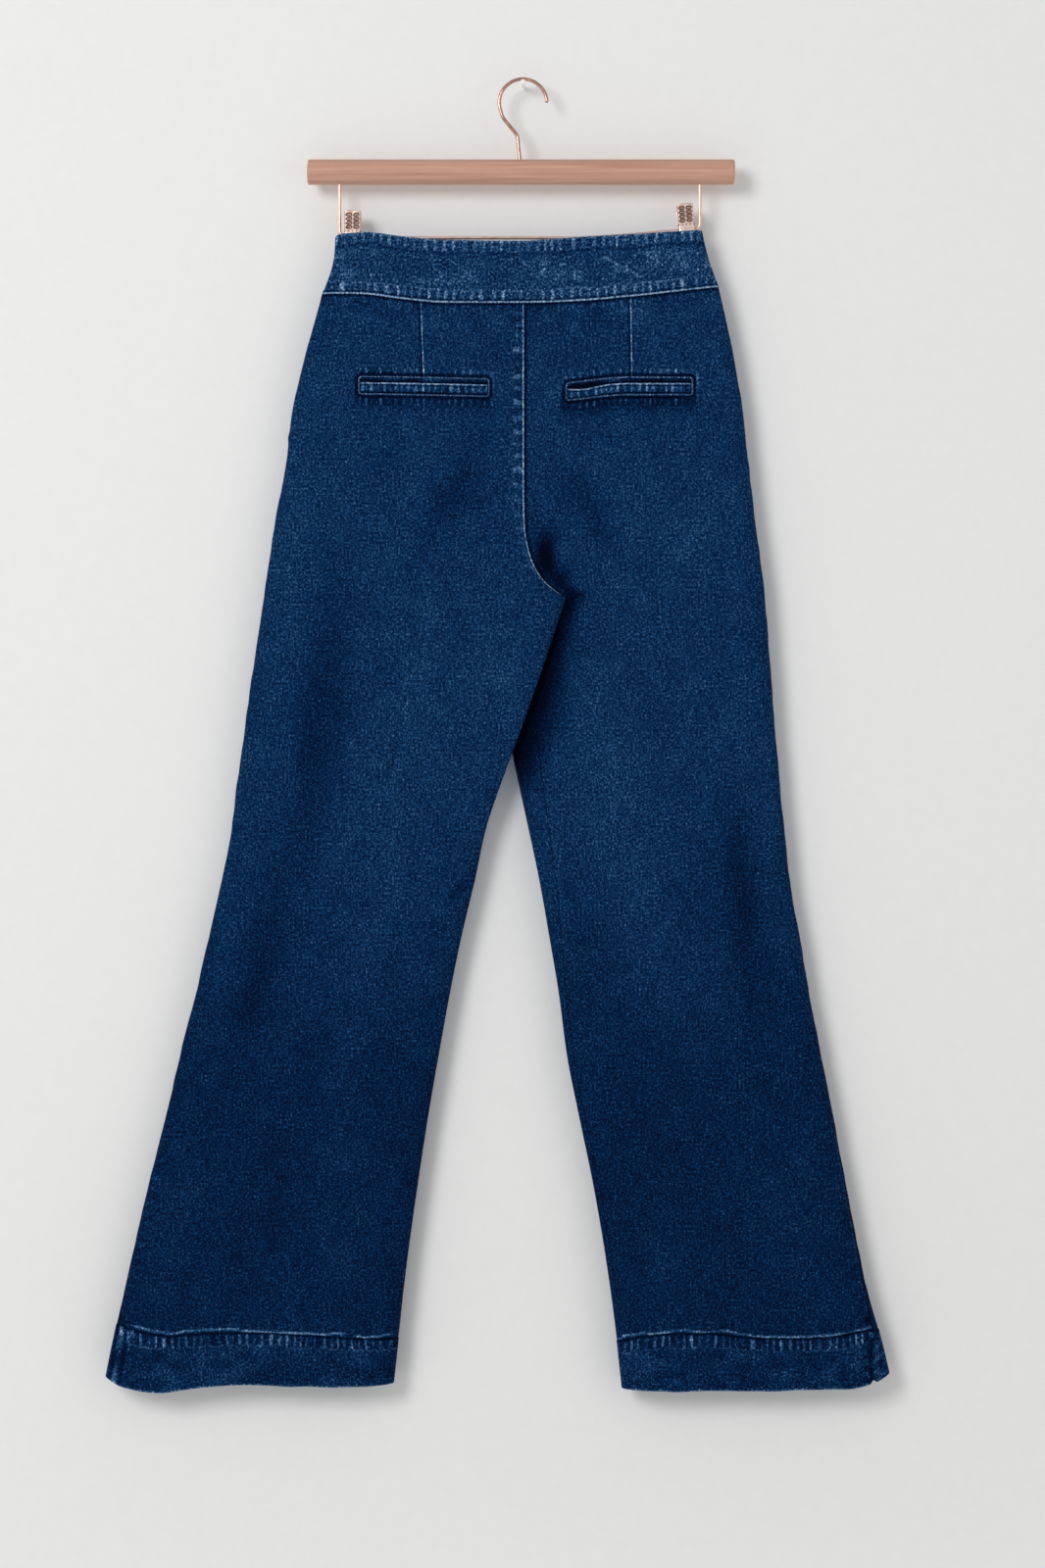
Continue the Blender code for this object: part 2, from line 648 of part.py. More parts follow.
def hanger_bar(material, cutter_material, collection, cutters):
    """The round bar, with a drilled socket for the hook's shank and for each end of the wire frame."""
    bar = cylinder("hanger_bar", BAR_RADIUS, BAR_LENGTH, "X", (BAR_X, 0.0, BAR_Z), BAR_SIDES, material, collection)
    sockets = (
        ("hook_socket", HOOK_SHANK_X, 1, HOOK_RADIUS),
        ("frame_socket_left", FRAME_LEFT, -1, WIRE_RADIUS),
        ("frame_socket_right", FRAME_RIGHT, -1, WIRE_RADIUS),
    )
    for name, x, way, radius in sockets:
        middle = (x, 0.0, BAR_Z + way * BAR_RADIUS)
        length = 2 * SOCKET_DEPTH
        cutter = cylinder(name, radius + SOCKET_SLACK, length, "Z", middle, 12, cutter_material, cutters)
        cutter.hide_render = True
        cutter.display_type = "WIRE"
        cut = bar.modifiers.new(name, "BOOLEAN")
        cut.operation = "DIFFERENCE"
        cut.solver = "EXACT"
        cut.object = cutter
    ends = bar.modifiers.new("round_ends", "BEVEL")
    ends.width = BAR_EDGE * MM
    ends.segments = 3
    ends.limit_method = "WEIGHT"
    bar.modifiers.move(len(bar.modifiers) - 1, 0)
    weights = bar.data.attributes.new("bevel_weight_edge", "FLOAT", "EDGE")
    for edge in bar.data.edges:
        heights = {round(bar.data.vertices[i].co.z, 6) for i in edge.vertices}
        weights.data[edge.index].value = 1.0 if len(heights) == 1 else 0.0
    bar.data.shade_smooth()
    return bar


def clip_plate(name, clip, way, profile, material, collection):
    """A pressed plate: a lever above the wire, a shoulder round the spring, and a jaw on the cloth."""
    label, clip_x, clip_z, lean = clip
    turn = math.radians(lean)
    grid = []
    for index, (away, up) in enumerate(profile):
        line = []
        width = CLIP_WIDTH if up > -3 else CLIP_JAW_WIDTH
        before = profile[max(index - 1, 0)]
        after = profile[min(index + 1, len(profile) - 1)]
        run = math.hypot(after[0] - before[0], after[1] - before[1])
        normal = ((before[1] - after[1]) / run, (after[0] - before[0]) / run)
        for share in (-0.5, -0.2, 0.2, 0.5):
            points = []
            for lift in (CLIP_PLATE / 2, -CLIP_PLATE / 2):
                out = way * (away + normal[0] * lift)
                high = up + normal[1] * lift
                dx = share * width
                x = clip_x + dx * math.cos(turn) - high * math.sin(turn)
                z = clip_z + high * math.cos(turn) + dx * math.sin(turn)
                points.append((x, out, z))
            line.append(tuple(points))
        grid.append(line)
    return wall_object(name, grid, material, collection)


def clip_spring(name, clip, material, collection):
    """The sprung barrel that turns on the wire, as a turned sleeve with the wire's hole through it."""
    _, clip_x, clip_z, lean = clip
    bore = WIRE_RADIUS + SOCKET_SLACK
    half = SPRING_LENGTH / 2
    mesh = bmesh.new()
    outline = [(bore, -half), (SPRING_RADIUS, -half), (SPRING_RADIUS, half), (bore, half)]
    corners = [mesh.verts.new((radius * MM, 0.0, height * MM)) for radius, height in outline]
    for a, b in zip(corners, corners[1:] + corners[:1]):
        mesh.edges.new((a, b))
    data = bpy.data.meshes.new(name)
    mesh.to_mesh(data)
    mesh.free()
    item = new_object(name, data, material, collection)
    turned = item.modifiers.new("turned", "SCREW")
    turned.steps = turned.render_steps = 16
    turned.use_merge_vertices = True
    turned.merge_threshold = 0.00001
    turned.use_normal_flip = True
    item.location = (clip_x * MM, 0.0, clip_z * MM)
    item.rotation_euler = (0.0, math.radians(90 - lean), 0.0)
    return item


def main():
    for item in list(bpy.data.objects):
        bpy.data.objects.remove(item, do_unlink=True)
    scene = bpy.context.scene
    parts = bpy.data.collections.new("wide_leg_jeans_on_clip_hanger")
    cutters = bpy.data.collections.new("cutters")
    scene.collection.children.link(parts)
    scene.collection.children.link(cutters)

    back_denim = principled("denim_back", DENIM, 0.9)
    front_denim = principled("denim_front", DENIM, 0.9)
    band_denim = principled("denim_waistband", DENIM_LIGHT, 0.9)
    hem_denim = principled("denim_hem", DENIM_DARK, 0.9)
    welt_denim = principled("denim_welt", DENIM_LIGHT, 0.9)
    wood = principled("beech", BEECH, 0.55)
    wire = principled("rose_gold_wire", ROSE_GOLD, 0.25, 1.0)
    plate = principled("rose_gold_plate", ROSE_GOLD, 0.2, 1.0)
    helper = principled("cutter", DENIM_DARK, 1.0)

    panel("back_left", LEFT, BACK, back_denim, parts)
    panel("back_right", RIGHT, BACK, back_denim, parts)
    panel("front_left", LEFT, FRONT, front_denim, parts)
    panel("front_right", RIGHT, FRONT, front_denim, parts)
    waistband("waistband_back", BACK, band_denim, parts)
    waistband("waistband_front", FRONT, band_denim, parts)
    for label, side in (("left", LEFT), ("right", RIGHT)):
        hem_band("hem_band_back_" + label, side, BACK, hem_denim, parts)
        hem_band("hem_band_front_" + label, side, FRONT, hem_denim, parts)
    for pocket in POCKETS:
        pocket_strip("pocket_lip_" + pocket[0], pocket, 0.0, LIP_HEIGHT, LIP_RISE, welt_denim, parts)
        below = LIP_HEIGHT + MOUTH_GAP
        pocket_strip("pocket_welt_" + pocket[0], pocket, below, WELT_HEIGHT, WELT_RISE, welt_denim, parts)

    hanger_bar(wood, helper, parts, cutters)
    tube("hanger_hook", hook_path(), HOOK_RADIUS, wire, parts)
    tube("hanger_frame", frame_path(), WIRE_RADIUS, wire, parts)
    for clip in CLIPS:
        clip_plate("clip_plate_outer_" + clip[0], clip, BACK, FRONT_PLATE, plate, parts)
        clip_plate("clip_plate_inner_" + clip[0], clip, FRONT, REAR_PLATE, plate, parts)
        clip_spring("clip_spring_" + clip[0], clip, wire, parts)


main()
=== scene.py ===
import math

import bpy
import mathutils
import numpy as np
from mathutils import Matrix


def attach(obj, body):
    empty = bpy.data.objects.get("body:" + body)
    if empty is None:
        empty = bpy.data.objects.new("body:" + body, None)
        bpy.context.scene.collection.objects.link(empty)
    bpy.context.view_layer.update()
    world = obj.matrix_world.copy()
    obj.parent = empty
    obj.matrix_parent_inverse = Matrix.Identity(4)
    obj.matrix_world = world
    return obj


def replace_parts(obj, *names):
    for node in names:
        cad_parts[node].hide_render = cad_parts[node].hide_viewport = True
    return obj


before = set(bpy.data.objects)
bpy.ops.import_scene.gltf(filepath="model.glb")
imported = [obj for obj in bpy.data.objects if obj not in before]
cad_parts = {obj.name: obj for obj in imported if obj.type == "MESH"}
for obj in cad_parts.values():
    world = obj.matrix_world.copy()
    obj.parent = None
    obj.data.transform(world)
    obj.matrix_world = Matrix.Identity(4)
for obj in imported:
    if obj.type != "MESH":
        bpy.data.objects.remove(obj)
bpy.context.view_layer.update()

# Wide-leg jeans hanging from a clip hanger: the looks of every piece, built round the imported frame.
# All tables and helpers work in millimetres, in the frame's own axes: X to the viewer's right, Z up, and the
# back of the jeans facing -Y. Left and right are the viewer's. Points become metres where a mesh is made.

MM = 0.001

# Cloth, as in the frame: thicknesses, the gap at a seam, how far the bands stand off the panels, and how the
# panels meet at the crotch
WALL = 1.2
BAND_WALL = 2.4
HEM_WALL = 2.2
SEAM_GAP = 0.3
BAND_PROUD = 0.8
HEM_PROUD = 0.5
CROTCH = -484.4
SEAM_AXIS = 0.95
FORK = 40.2
CROTCH_REACH = 5.0
FOLD_ROUND = 28.0
FORK_CROWDING = 1.6

# The seat's outline and its centre-back seam
SEAT_COLUMNS = ("level", "left_edge", "right_edge", "back_seam")
SEAT = (
    (-194.0, -186.5, 183.4, 1.6),
    (-206.0, -189.0, 186.2, 1.6),
    (-236.0, -197.6, 193.0, 1.6),
    (-270.0, -206.5, 199.5, 1.6),
    (-310.0, -215.4, 206.3, 1.6),
    (-346.0, -219.8, 210.2, 1.6),
    (-385.0, -226.5, 214.4, 1.7),
    (-414.0, -231.5, 218.2, 2.3),
    (-432.0, -234.5, 220.6, 4.4),
    (-449.0, -237.0, 222.9, 9.0),
    (-461.0, -239.0, 224.3, 15.0),
    (-472.0, -240.4, 225.5, 24.2),
    (-480.0, -241.5, 226.4, 34.8),
    (CROTCH, -242.0, 226.8, 41.2),
)

# The legs' outer edges and inner folds
LEG_COLUMNS = ("level", "left_edge", "left_fold", "right_fold", "right_edge")
LEGS = (
    (CROTCH, -242.0, 41.2, -39.3, 226.8),
    (-525.0, -248.0, 27.0, -31.0, 230.0),
    (-565.0, -254.5, 13.6, -23.0, 233.2),
    (-610.0, -260.6, -2.4, -13.8, 237.0),
    (-655.0, -266.6, -19.0, -4.4, 240.7),
    (-700.0, -272.4, -34.0, 5.5, 245.0),
    (-750.0, -282.0, -44.8, 16.0, 250.3),
    (-800.0, -293.0, -56.8, 24.8, 259.0),
    (-855.0, -306.0, -68.0, 34.0, 268.6),
    (-912.0, -320.3, -78.3, 41.5, 279.3),
    (-970.0, -334.0, -88.3, 53.0, 291.0),
    (-1030.0, -349.2, -97.5, 65.5, 302.0),
    (-1090.0, -363.0, -106.0, 76.0, 313.5),
    (-1130.0, -372.0, -111.0, 82.0, 322.0),
    (-1172.0, -381.5, -115.6, 87.5, 334.0),
    (-1226.0, -392.5, -121.5, 93.5, 347.0),
)

# Depth: where the side seams lie, how far each layer stands off them, and how they round
DEPTH_COLUMNS = ("level", "side_y", "back", "front", "back_crown", "front_crown", "rounding")
DEPTHS = (
    (-144.0, -3.0, 9.0, 3.7, 0.50, 0.00, 10.0),
    (-165.0, -3.0, 9.6, 3.7, 0.50, 0.00, 11.0),
    (-210.0, -3.0, 10.5, 4.8, 0.45, 0.00, 14.0),
    (-250.0, -2.0, 12.5, 8.5, 0.30, 0.05, 20.0),
    (-310.0, -0.5, 14.5, 13.0, 0.18, 0.10, 28.0),
    (-385.0, 0.0, 15.5, 15.0, 0.08, 0.06, 32.0),
    (CROTCH, 0.0, 15.0, 15.0, 0.00, 0.00, 30.0),
    (-565.0, 0.0, 13.5, 13.5, 0.05, 0.05, 28.0),
    (-655.0, 0.0, 12.5, 12.5, 0.10, 0.10, 27.0),
    (-750.0, 0.0, 12.0, 12.0, 0.12, 0.12, 26.0),
    (-970.0, 0.0, 12.0, 12.5, 0.12, 0.12, 26.0),
    (-1090.0, 0.0, 13.5, 14.0, 0.10, 0.10, 26.0),
    (-1172.0, 0.0, 15.0, 16.0, 0.08, 0.08, 24.0),
    (-1226.0, 0.0, 16.5, 18.0, 0.08, 0.08, 22.0),
)

# Where the layers pass each other at the crotch and down the inner folds
PASSING_COLUMNS = ("level", "sunk", "edge_roll", "fold_y", "apart", "slant", "inseam")
PASSING = (
    (-385.0, 0.0, 0.0, 5.25, 0.25, 0.125, 40.2),
    (-440.0, 0.35, 0.2, 5.25, 0.25, 0.125, 40.2),
    (CROTCH, 1.0, 1.0, 5.25, 0.25, 0.125, 40.2),
    (-545.0, 1.0, 1.0, 9.0, 2.0, 0.03, 34.0),
    (-600.0, 1.0, 1.0, 9.0, 3.0, 0.0, 28.0),
    (-655.0, 1.0, 1.0, 7.0, 3.0, 0.0, 23.0),
    (-700.0, 1.0, 1.0, 3.0, 3.0, 0.0, 19.0),
    (-760.0, 1.0, 1.0, 0.5, 3.0, 0.0, 15.0),
    (-880.0, 1.0, 1.0, 0.0, 3.0, 0.0, 6.0),
    (-1226.0, 1.0, 1.0, 0.0, 3.0, 0.0, 5.0),
)

# The waistband's seam and its top edge, from left to right
BAND_COLUMNS = ("seam_x", "seam_z", "top_x", "top_z")
BAND = (
    (-188.1, -201.0, -175.5, -144.5),
    (-152.0, -201.5, -146.0, -142.8),
    (-115.0, -206.0, -110.0, -147.0),
    (-72.0, -210.0, -70.0, -150.3),
    (-2.0, -210.3, -3.0, -151.2),
    (52.0, -208.5, 48.0, -148.0),
    (107.0, -203.5, 98.0, -145.0),
    (146.0, -199.0, 134.0, -142.5),
    (184.2, -194.3, 168.0, -140.4),
)

# The front waistband's top edge
FRONT_TOP_COLUMNS = ("x", "z")
FRONT_TOP = (
    (-177.0, -144.5),
    (-171.5, -147.8),
    (-167.0, -150.6),
    (-150.0, -150.7),
    (0.0, -150.0),
    (100.0, -147.0),
    (145.0, -144.7),
    (161.0, -144.6),
    (165.0, -143.2),
    (169.0, -140.4),
)

# The waistband's levels, how its ends are hollowed, and where its slant fades into the seat
BAND_TOP_LEVEL = -150.0
BAND_LEVEL = -210.3
BAND_HOLLOW_REACH = 54.0
BAND_HOLLOW_LEFT = 4.0
BAND_HOLLOW_RIGHT = 1.7
BAND_FADE = -330.0

# The hem bands' seam, and where its slant fades into the legs
HEM_LEVEL = -1172.0
HEM_FADE = -1060.0
# The hem bands' seams and lower edges, by the share of the leg's width from its outer edge
HEM_COLUMNS = ("across", "left_seam", "left_edge", "right_seam", "right_edge")
HEM = (
    (0.0, -1163.0, -1213.0, -1167.5, -1209.5),
    (0.08, -1168.5, -1221.5, -1169.5, -1218.5),
    (0.2, -1173.0, -1225.5, -1174.0, -1223.0),
    (0.35, -1170.0, -1221.0, -1175.7, -1223.0),
    (0.5, -1170.0, -1219.0, -1174.5, -1224.7),
    (0.65, -1172.0, -1220.0, -1170.5, -1223.5),
    (0.85, -1175.0, -1221.0, -1172.0, -1225.0),
    (1.0, -1176.0, -1219.0, -1179.0, -1224.0),
)

# Pockets: the frame's ends, and its upper edge's height at the outer end, middle and inner end
POCKETS = {
    "left": (-151.0, -33.0, -279.2, -280.2, -281.6),
    "right": (157.0, 42.5, -280.0, -280.0, -285.2),
}
LIP_HEIGHT = 3.6
WELT_HEIGHT = 9.4
MOUTH_GAP = 0.8
FRAME_MARGIN = 1.5
POCKET_HEIGHT = LIP_HEIGHT + MOUTH_GAP + WELT_HEIGHT

# Darts: x at the waistband and at the lower end, and the lower end's height
DARTS = {"left": (-94.8, -91.9, -281.5), "right": (100.9, 101.9, -280.0)}

# Soft folds of the frame's own solids: layer, x, z, lean, half length, half width, rise
FOLDS = (
    ("back_right", 166.0, -580.0, 9.0, 80.0, 20.0, -2.2),
    ("back_right", 60.0, -520.0, -14.0, 75.0, 17.0, 1.8),
    ("back_left", -60.0, -830.0, -35.0, 48.0, 18.0, -2.4),
    ("back_left", -215.0, -1040.0, 12.0, 120.0, 24.0, -2.0),
    ("back_right", 175.0, -1010.0, -11.0, 130.0, 24.0, -1.8),
    ("front_left", -120.0, -560.0, 10.0, 120.0, 24.0, -2.2),
    ("front_right", 110.0, -600.0, -8.0, 130.0, 24.0, -2.2),
    ("front_left", -230.0, -960.0, 13.0, 130.0, 26.0, -2.2),
    ("front_right", 190.0, -980.0, -11.0, 130.0, 26.0, -2.0),
)

# Finer creases, which only the looks have: the same columns
CREASES = (
    ("back_right", 21.0, -447.0, 12.0, 24.0, 7.0, -2.6),
    ("back_right", 34.0, -470.0, 40.0, 18.0, 6.0, -1.2),
    ("back_right", 32.0, -746.0, -5.0, 52.0, 3.5, 0.9),
    ("back_right", 35.0, -760.0, -7.0, 60.0, 7.0, 0.7),
    ("back_right", 84.0, -640.0, -6.0, 110.0, 26.0, 1.3),
    ("back_right", 128.0, -800.0, -9.0, 120.0, 24.0, 1.2),
    ("back_right", 205.0, -760.0, -7.0, 90.0, 14.0, -1.1),
    ("back_right", 150.0, -440.0, 30.0, 46.0, 15.0, 0.9),
    ("back_right", 60.0, -400.0, -35.0, 50.0, 14.0, -0.9),
    ("back_right", 250.0, -1085.0, -14.0, 60.0, 14.0, 1.0),
    ("back_right", 130.0, -1110.0, -8.0, 50.0, 13.0, 1.0),
    ("back_left", -61.0, -760.0, 41.0, 25.0, 4.5, -1.7),
    ("back_left", -67.0, -768.0, 43.0, 28.0, 5.0, 1.0),
    ("back_left", -120.0, -632.0, 13.0, 30.0, 3.5, -1.5),
    ("back_left", -110.0, -640.0, 5.0, 110.0, 24.0, 1.3),
    ("back_left", -190.0, -600.0, 7.0, 130.0, 22.0, -1.2),
    ("back_left", -20.0, -560.0, -22.0, 70.0, 16.0, 1.2),
    ("back_left", -150.0, -860.0, 11.0, 120.0, 24.0, 1.4),
    ("back_left", -250.0, -850.0, 14.0, 80.0, 16.0, -1.0),
    ("back_left", -160.0, -400.0, -28.0, 48.0, 16.0, 0.9),
    ("back_left", -70.0, -395.0, 30.0, 52.0, 15.0, -0.9),
    ("back_left", -330.0, -1090.0, 13.0, 60.0, 14.0, 1.0),
    ("back_left", -170.0, -1110.0, 8.0, 55.0, 15.0, 1.1),
    ("front_left", -190.0, -330.0, -62.0, 26.0, 7.0, 0.9),
    ("front_left", -176.0, -352.0, -58.0, 34.0, 7.0, -0.9),
    ("front_left", -160.0, -378.0, -54.0, 40.0, 8.0, 0.8),
    ("front_right", 182.0, -330.0, 62.0, 26.0, 7.0, 0.9),
    ("front_right", 170.0, -352.0, 58.0, 34.0, 7.0, -0.9),
    ("front_right", 156.0, -376.0, 54.0, 40.0, 8.0, 0.8),
    ("front_left", -60.0, -455.0, -48.0, 44.0, 9.0, -1.0),
    ("front_right", 62.0, -458.0, 48.0, 44.0, 9.0, -1.0),
    ("front_left", -100.0, -700.0, 8.0, 130.0, 26.0, 1.3),
    ("front_right", 96.0, -760.0, -8.0, 130.0, 26.0, 1.3),
    ("front_left", -200.0, -820.0, -38.0, 44.0, 9.0, 0.9),
    ("front_right", 176.0, -850.0, 34.0, 44.0, 9.0, 0.9),
    ("front_left", -300.0, -1080.0, 13.0, 70.0, 15.0, 1.1),
    ("front_right", 250.0, -1080.0, -12.0, 70.0, 15.0, 1.1),
)

# Outseams: how far in from the outline the seam line lies on the back of each leg
OUTSEAM_COLUMNS = ("level", "left", "right")
OUTSEAM = (
    (-1400.0, 4.5, 17.0),
    (-1212.0, 4.5, 17.0),
    (-1188.0, 4.0, 12.5),
    (-1166.0, 3.0, 8.0),
    (-1140.0, 2.6, 4.6),
    (-1060.0, 2.2, 2.4),
    (-940.0, 1.6, 1.6),
    (-500.0, 1.2, 1.2),
    (-190.0, 1.2, 1.2),
)

BACK, FRONT = -1, 1
LEFT, RIGHT = 1, -1
SIDE_NAMES = {LEFT: "left", RIGHT: "right"}
FACE_NAMES = {BACK: "back", FRONT: "front"}


def smooth_curve(rows, columns, column):
    """A smooth curve through one column of a table, with no overshoot, for arrays of the first column."""
    of = columns.index(column)
    ordered = sorted(rows, key=lambda row: row[0])
    x = np.array([row[0] for row in ordered], float)
    y = np.array([row[of] for row in ordered], float)
    step = np.diff(x)
    slope = np.diff(y) / step
    before, after = slope[:-1], slope[1:]
    same_way = before * after > 0
    middle = np.where(same_way, 2 * before * after / np.where(same_way, before + after, 1.0), 0.0)
    tangent = np.concatenate([slope[:1], middle, slope[-1:]])

    def value(place):
        place = np.clip(place, x[0], x[-1])
        i = np.clip(np.searchsorted(x, place, side="right") - 1, 0, len(step) - 1)
        t = (place - x[i]) / step[i]
        rise = (2 * t + 1) * (1 - t) ** 2 * y[i] + t * t * (3 - 2 * t) * y[i + 1]
        return rise + step[i] * (t * (1 - t) ** 2 * tangent[i] - t * t * (1 - t) * tangent[i + 1])

    return value


def curves(rows, columns):
    return {name: smooth_curve(rows, columns, name) for name in columns[1:]}


seat = curves(SEAT, SEAT_COLUMNS)
legs = curves(LEGS, LEG_COLUMNS)
depths = curves(DEPTHS, DEPTH_COLUMNS)
passing = curves(PASSING, PASSING_COLUMNS)
band = curves(BAND, BAND_COLUMNS)
hem = curves(HEM, HEM_COLUMNS)
outseam = curves(OUTSEAM, OUTSEAM_COLUMNS)
front_top = smooth_curve(FRONT_TOP, FRONT_TOP_COLUMNS, "z")


def eased(value):
    """0 to 1 with a level start and end."""
    value = np.clip(value, 0.0, 1.0)
    return value * value * (3 - 2 * value)


def rolled(value):
    """0 to 1 as a quarter circle, upright at the start."""
    return np.sqrt(1 - (1 - np.clip(value, 0.0, 1.0)) ** 2)


def mix(a, b, share):
    return a + (b - a) * share


def bell(value):
    return np.exp(-value * value)


def plateau(value, start, end, soft):
    """1 between start and end, falling to 0 over a soft stretch outside them."""
    return eased((value - start) / soft + 1) * eased((end - value) / soft + 1)


def outer_edge(side, z):
    name = SIDE_NAMES[side] + "_edge"
    return np.where(z >= CROTCH, seat[name](z), legs[name](z))


def inner_fold(side, z):
    return legs[SIDE_NAMES[side] + "_fold"](z)


def centre_seam(face, z):
    x = seat["back_seam"](z)
    return x if face == BACK else 2 * SEAM_AXIS - x


def near_face(side):
    """The layer that wraps round the leg's inner fold: the left leg's back, the right leg's front."""
    return BACK if side == LEFT else FRONT


def folds_rise(table, side, face, x, z):
    layer = FACE_NAMES[face] + "_" + SIDE_NAMES[side]
    rise = np.zeros(np.broadcast(x, z).shape)
    for name, fold_x, fold_z, lean, half_length, half_width, height in table:
        if name == layer:
            turn = math.radians(lean)
            dx, dz = x - fold_x, z - fold_z
            along = dz * math.cos(turn) + dx * math.sin(turn)
            across = dx * math.cos(turn) - dz * math.sin(turn)
            rise += height * np.exp(-((along / half_length) ** 2) - (across / half_width) ** 2)
    return rise


def cloth_y(side, face, x, z):
    """The outer surface of a layer of the frame's cloth: how far it lies from the hanger's plane."""
    near = near_face(side)
    name = FACE_NAMES[face]
    rounding = depths["rounding"](z)
    from_edge = (x - outer_edge(side, z)) * side
    crown = depths[name + "_crown"](z)
    seat_left = seat["left_edge"](z)
    across_seat = 2 * (x - seat_left) / (seat["right_edge"](z) - seat_left) - 1
    across_leg = 2 * from_edge / ((inner_fold(side, z) - outer_edge(side, z)) * side) - 1
    across = np.where(z >= CROTCH, across_seat, across_leg)
    full = depths[name](z) * (1 - crown * across * across) + folds_rise(FOLDS, side, face, x, z)
    full = face * full * rolled(from_edge / rounding)

    to_seam = (centre_seam(face, z) - x) * side / FOLD_ROUND
    shape = eased(to_seam)
    if face == near:
        shape = mix(shape, rolled(to_seam), passing["edge_roll"](z))
    sunk_to = face * CROTCH_REACH + near * passing["apart"](CROTCH)
    y_seat = full + passing["sunk"](z) * (sunk_to - full) * (1 - shape)

    left, right = inner_fold(LEFT, z), inner_fold(RIGHT, z)
    in_leg = full
    if face != near:
        middle = np.minimum(np.maximum(x, np.minimum(left, right)), np.maximum(left, right)) - SEAM_AXIS
        between = near * passing["apart"](z) - passing["slant"](z) * middle
        passes = (inner_fold(-side, z) - x) * side / FOLD_ROUND
        in_leg = between + (full - between) * eased(passes)
    fold_y = near * passing["fold_y"](z)
    to_fold = (inner_fold(side, z) - x) * side / FOLD_ROUND
    y_leg = fold_y + (in_leg - fold_y) * rolled(to_fold)

    parted = face * SEAM_GAP / 2 * (1 - rolled(from_edge / rounding))
    return depths["side_y"](z) + np.where(z >= CROTCH, y_seat, y_leg) + parted


def across_share(side, x, z):
    return np.clip((x - outer_edge(side, z)) / (inner_fold(side, z) - outer_edge(side, z)), 0.0, 1.0)


def seat_height(level, x):
    share = eased((level - BAND_FADE) / (BAND_LEVEL - BAND_FADE))
    return level + (band["seam_z"](x) - BAND_LEVEL) * share - SEAM_GAP / 2 * share


def leg_height(side, level, share):
    down = eased((HEM_FADE - level) / (HEM_FADE - HEM_LEVEL))
    return level + (hem[SIDE_NAMES[side] + "_seam"](share) - HEM_LEVEL + SEAM_GAP / 2) * down


# Where each noise starts; a side's or a face's number is added, so that the layers differ
SEEDS = {
    "below_band": 11, "tugs": 13, "back_seam": 23, "back_seam_edge": 27, "back_seam_wear": 29, "pocket": 31,
    "pocket_dark": 33, "pocket_wear": 35, "pocket_folds": 37, "outseam": 41, "hem_ridge": 47, "above_hem": 51,
    "panel_wide": 61, "panel_small": 71, "front_seam": 83, "side_bumps": 91, "side_waves": 95,
    "band_low": 101, "band_top": 113, "band_wide": 121, "band_small": 127, "hem_edge": 131, "hem_strip": 141,
    "hem": 151, "hem_small": 157, "felled_corner": 163, "beyond_corner": 169, "pocket_lip": 171,
    "pocket_welt": 178, "wood": 211, "plate": 221,
}


class Noise:
    """Smooth value noise from -1 to 1 on a repeating lattice."""

    SIZE = 128

    def __init__(self, seed):
        self.lattice = np.random.default_rng(seed).uniform(-1.0, 1.0, (self.SIZE, self.SIZE))

    def __call__(self, u, v=0.0):
        u, v = np.broadcast_arrays(np.asarray(u, float), np.asarray(v, float))
        i, j = np.floor(u).astype(int), np.floor(v).astype(int)
        a, b = eased(u - i), eased(v - j)
        i0, j0, i1, j1 = i % self.SIZE, j % self.SIZE, (i + 1) % self.SIZE, (j + 1) % self.SIZE
        low = mix(self.lattice[i0, j0], self.lattice[i1, j0], a)
        high = mix(self.lattice[i0, j1], self.lattice[i1, j1], a)
        return mix(low, high, b)


# A pale ridge's half width as a share of the pitch, and what is added to the phase that the shader reads
RIDGE_SHARE = 0.24
PHASE_START = 40.0


def puckers(fields, seed, along, away, profile, pitch, strength):
    """The ripples of a shrunken seam, along which narrow pale ridges stand between wide dark dips.

    The strip's strength and phase go into the fields, and its height comes back, -1 to 1 times the profile.
    """
    noise = Noise(seed)
    phase = along / pitch + 0.42 * noise(along / (2.3 * pitch) + 7.3)
    phase = phase + 0.10 * noise(along / pitch, away / 4.0)
    cell = np.floor(phase).astype(int)
    tall = 0.62 + 0.38 * noise.lattice[cell % Noise.SIZE, 5]
    strong = np.clip(profile * strength, 0.0, 1.0)
    fields["phase"] = np.where(strong > fields["strip"], phase + PHASE_START, fields["phase"])
    fields["strip"] = np.maximum(fields["strip"], strong)
    wave = bell((phase - cell - 0.5) / RIDGE_SHARE)
    return profile * (1.5 * tall * wave - 0.55 + 0.25 * noise(along / 9.0 + 5, away / 6.0))


def unit_normals(points):
    down = np.gradient(points, axis=0)
    right = np.gradient(points, axis=1)
    normal = np.cross(right, down)
    return normal / np.maximum(np.linalg.norm(normal, axis=2, keepdims=True), 1e-9)


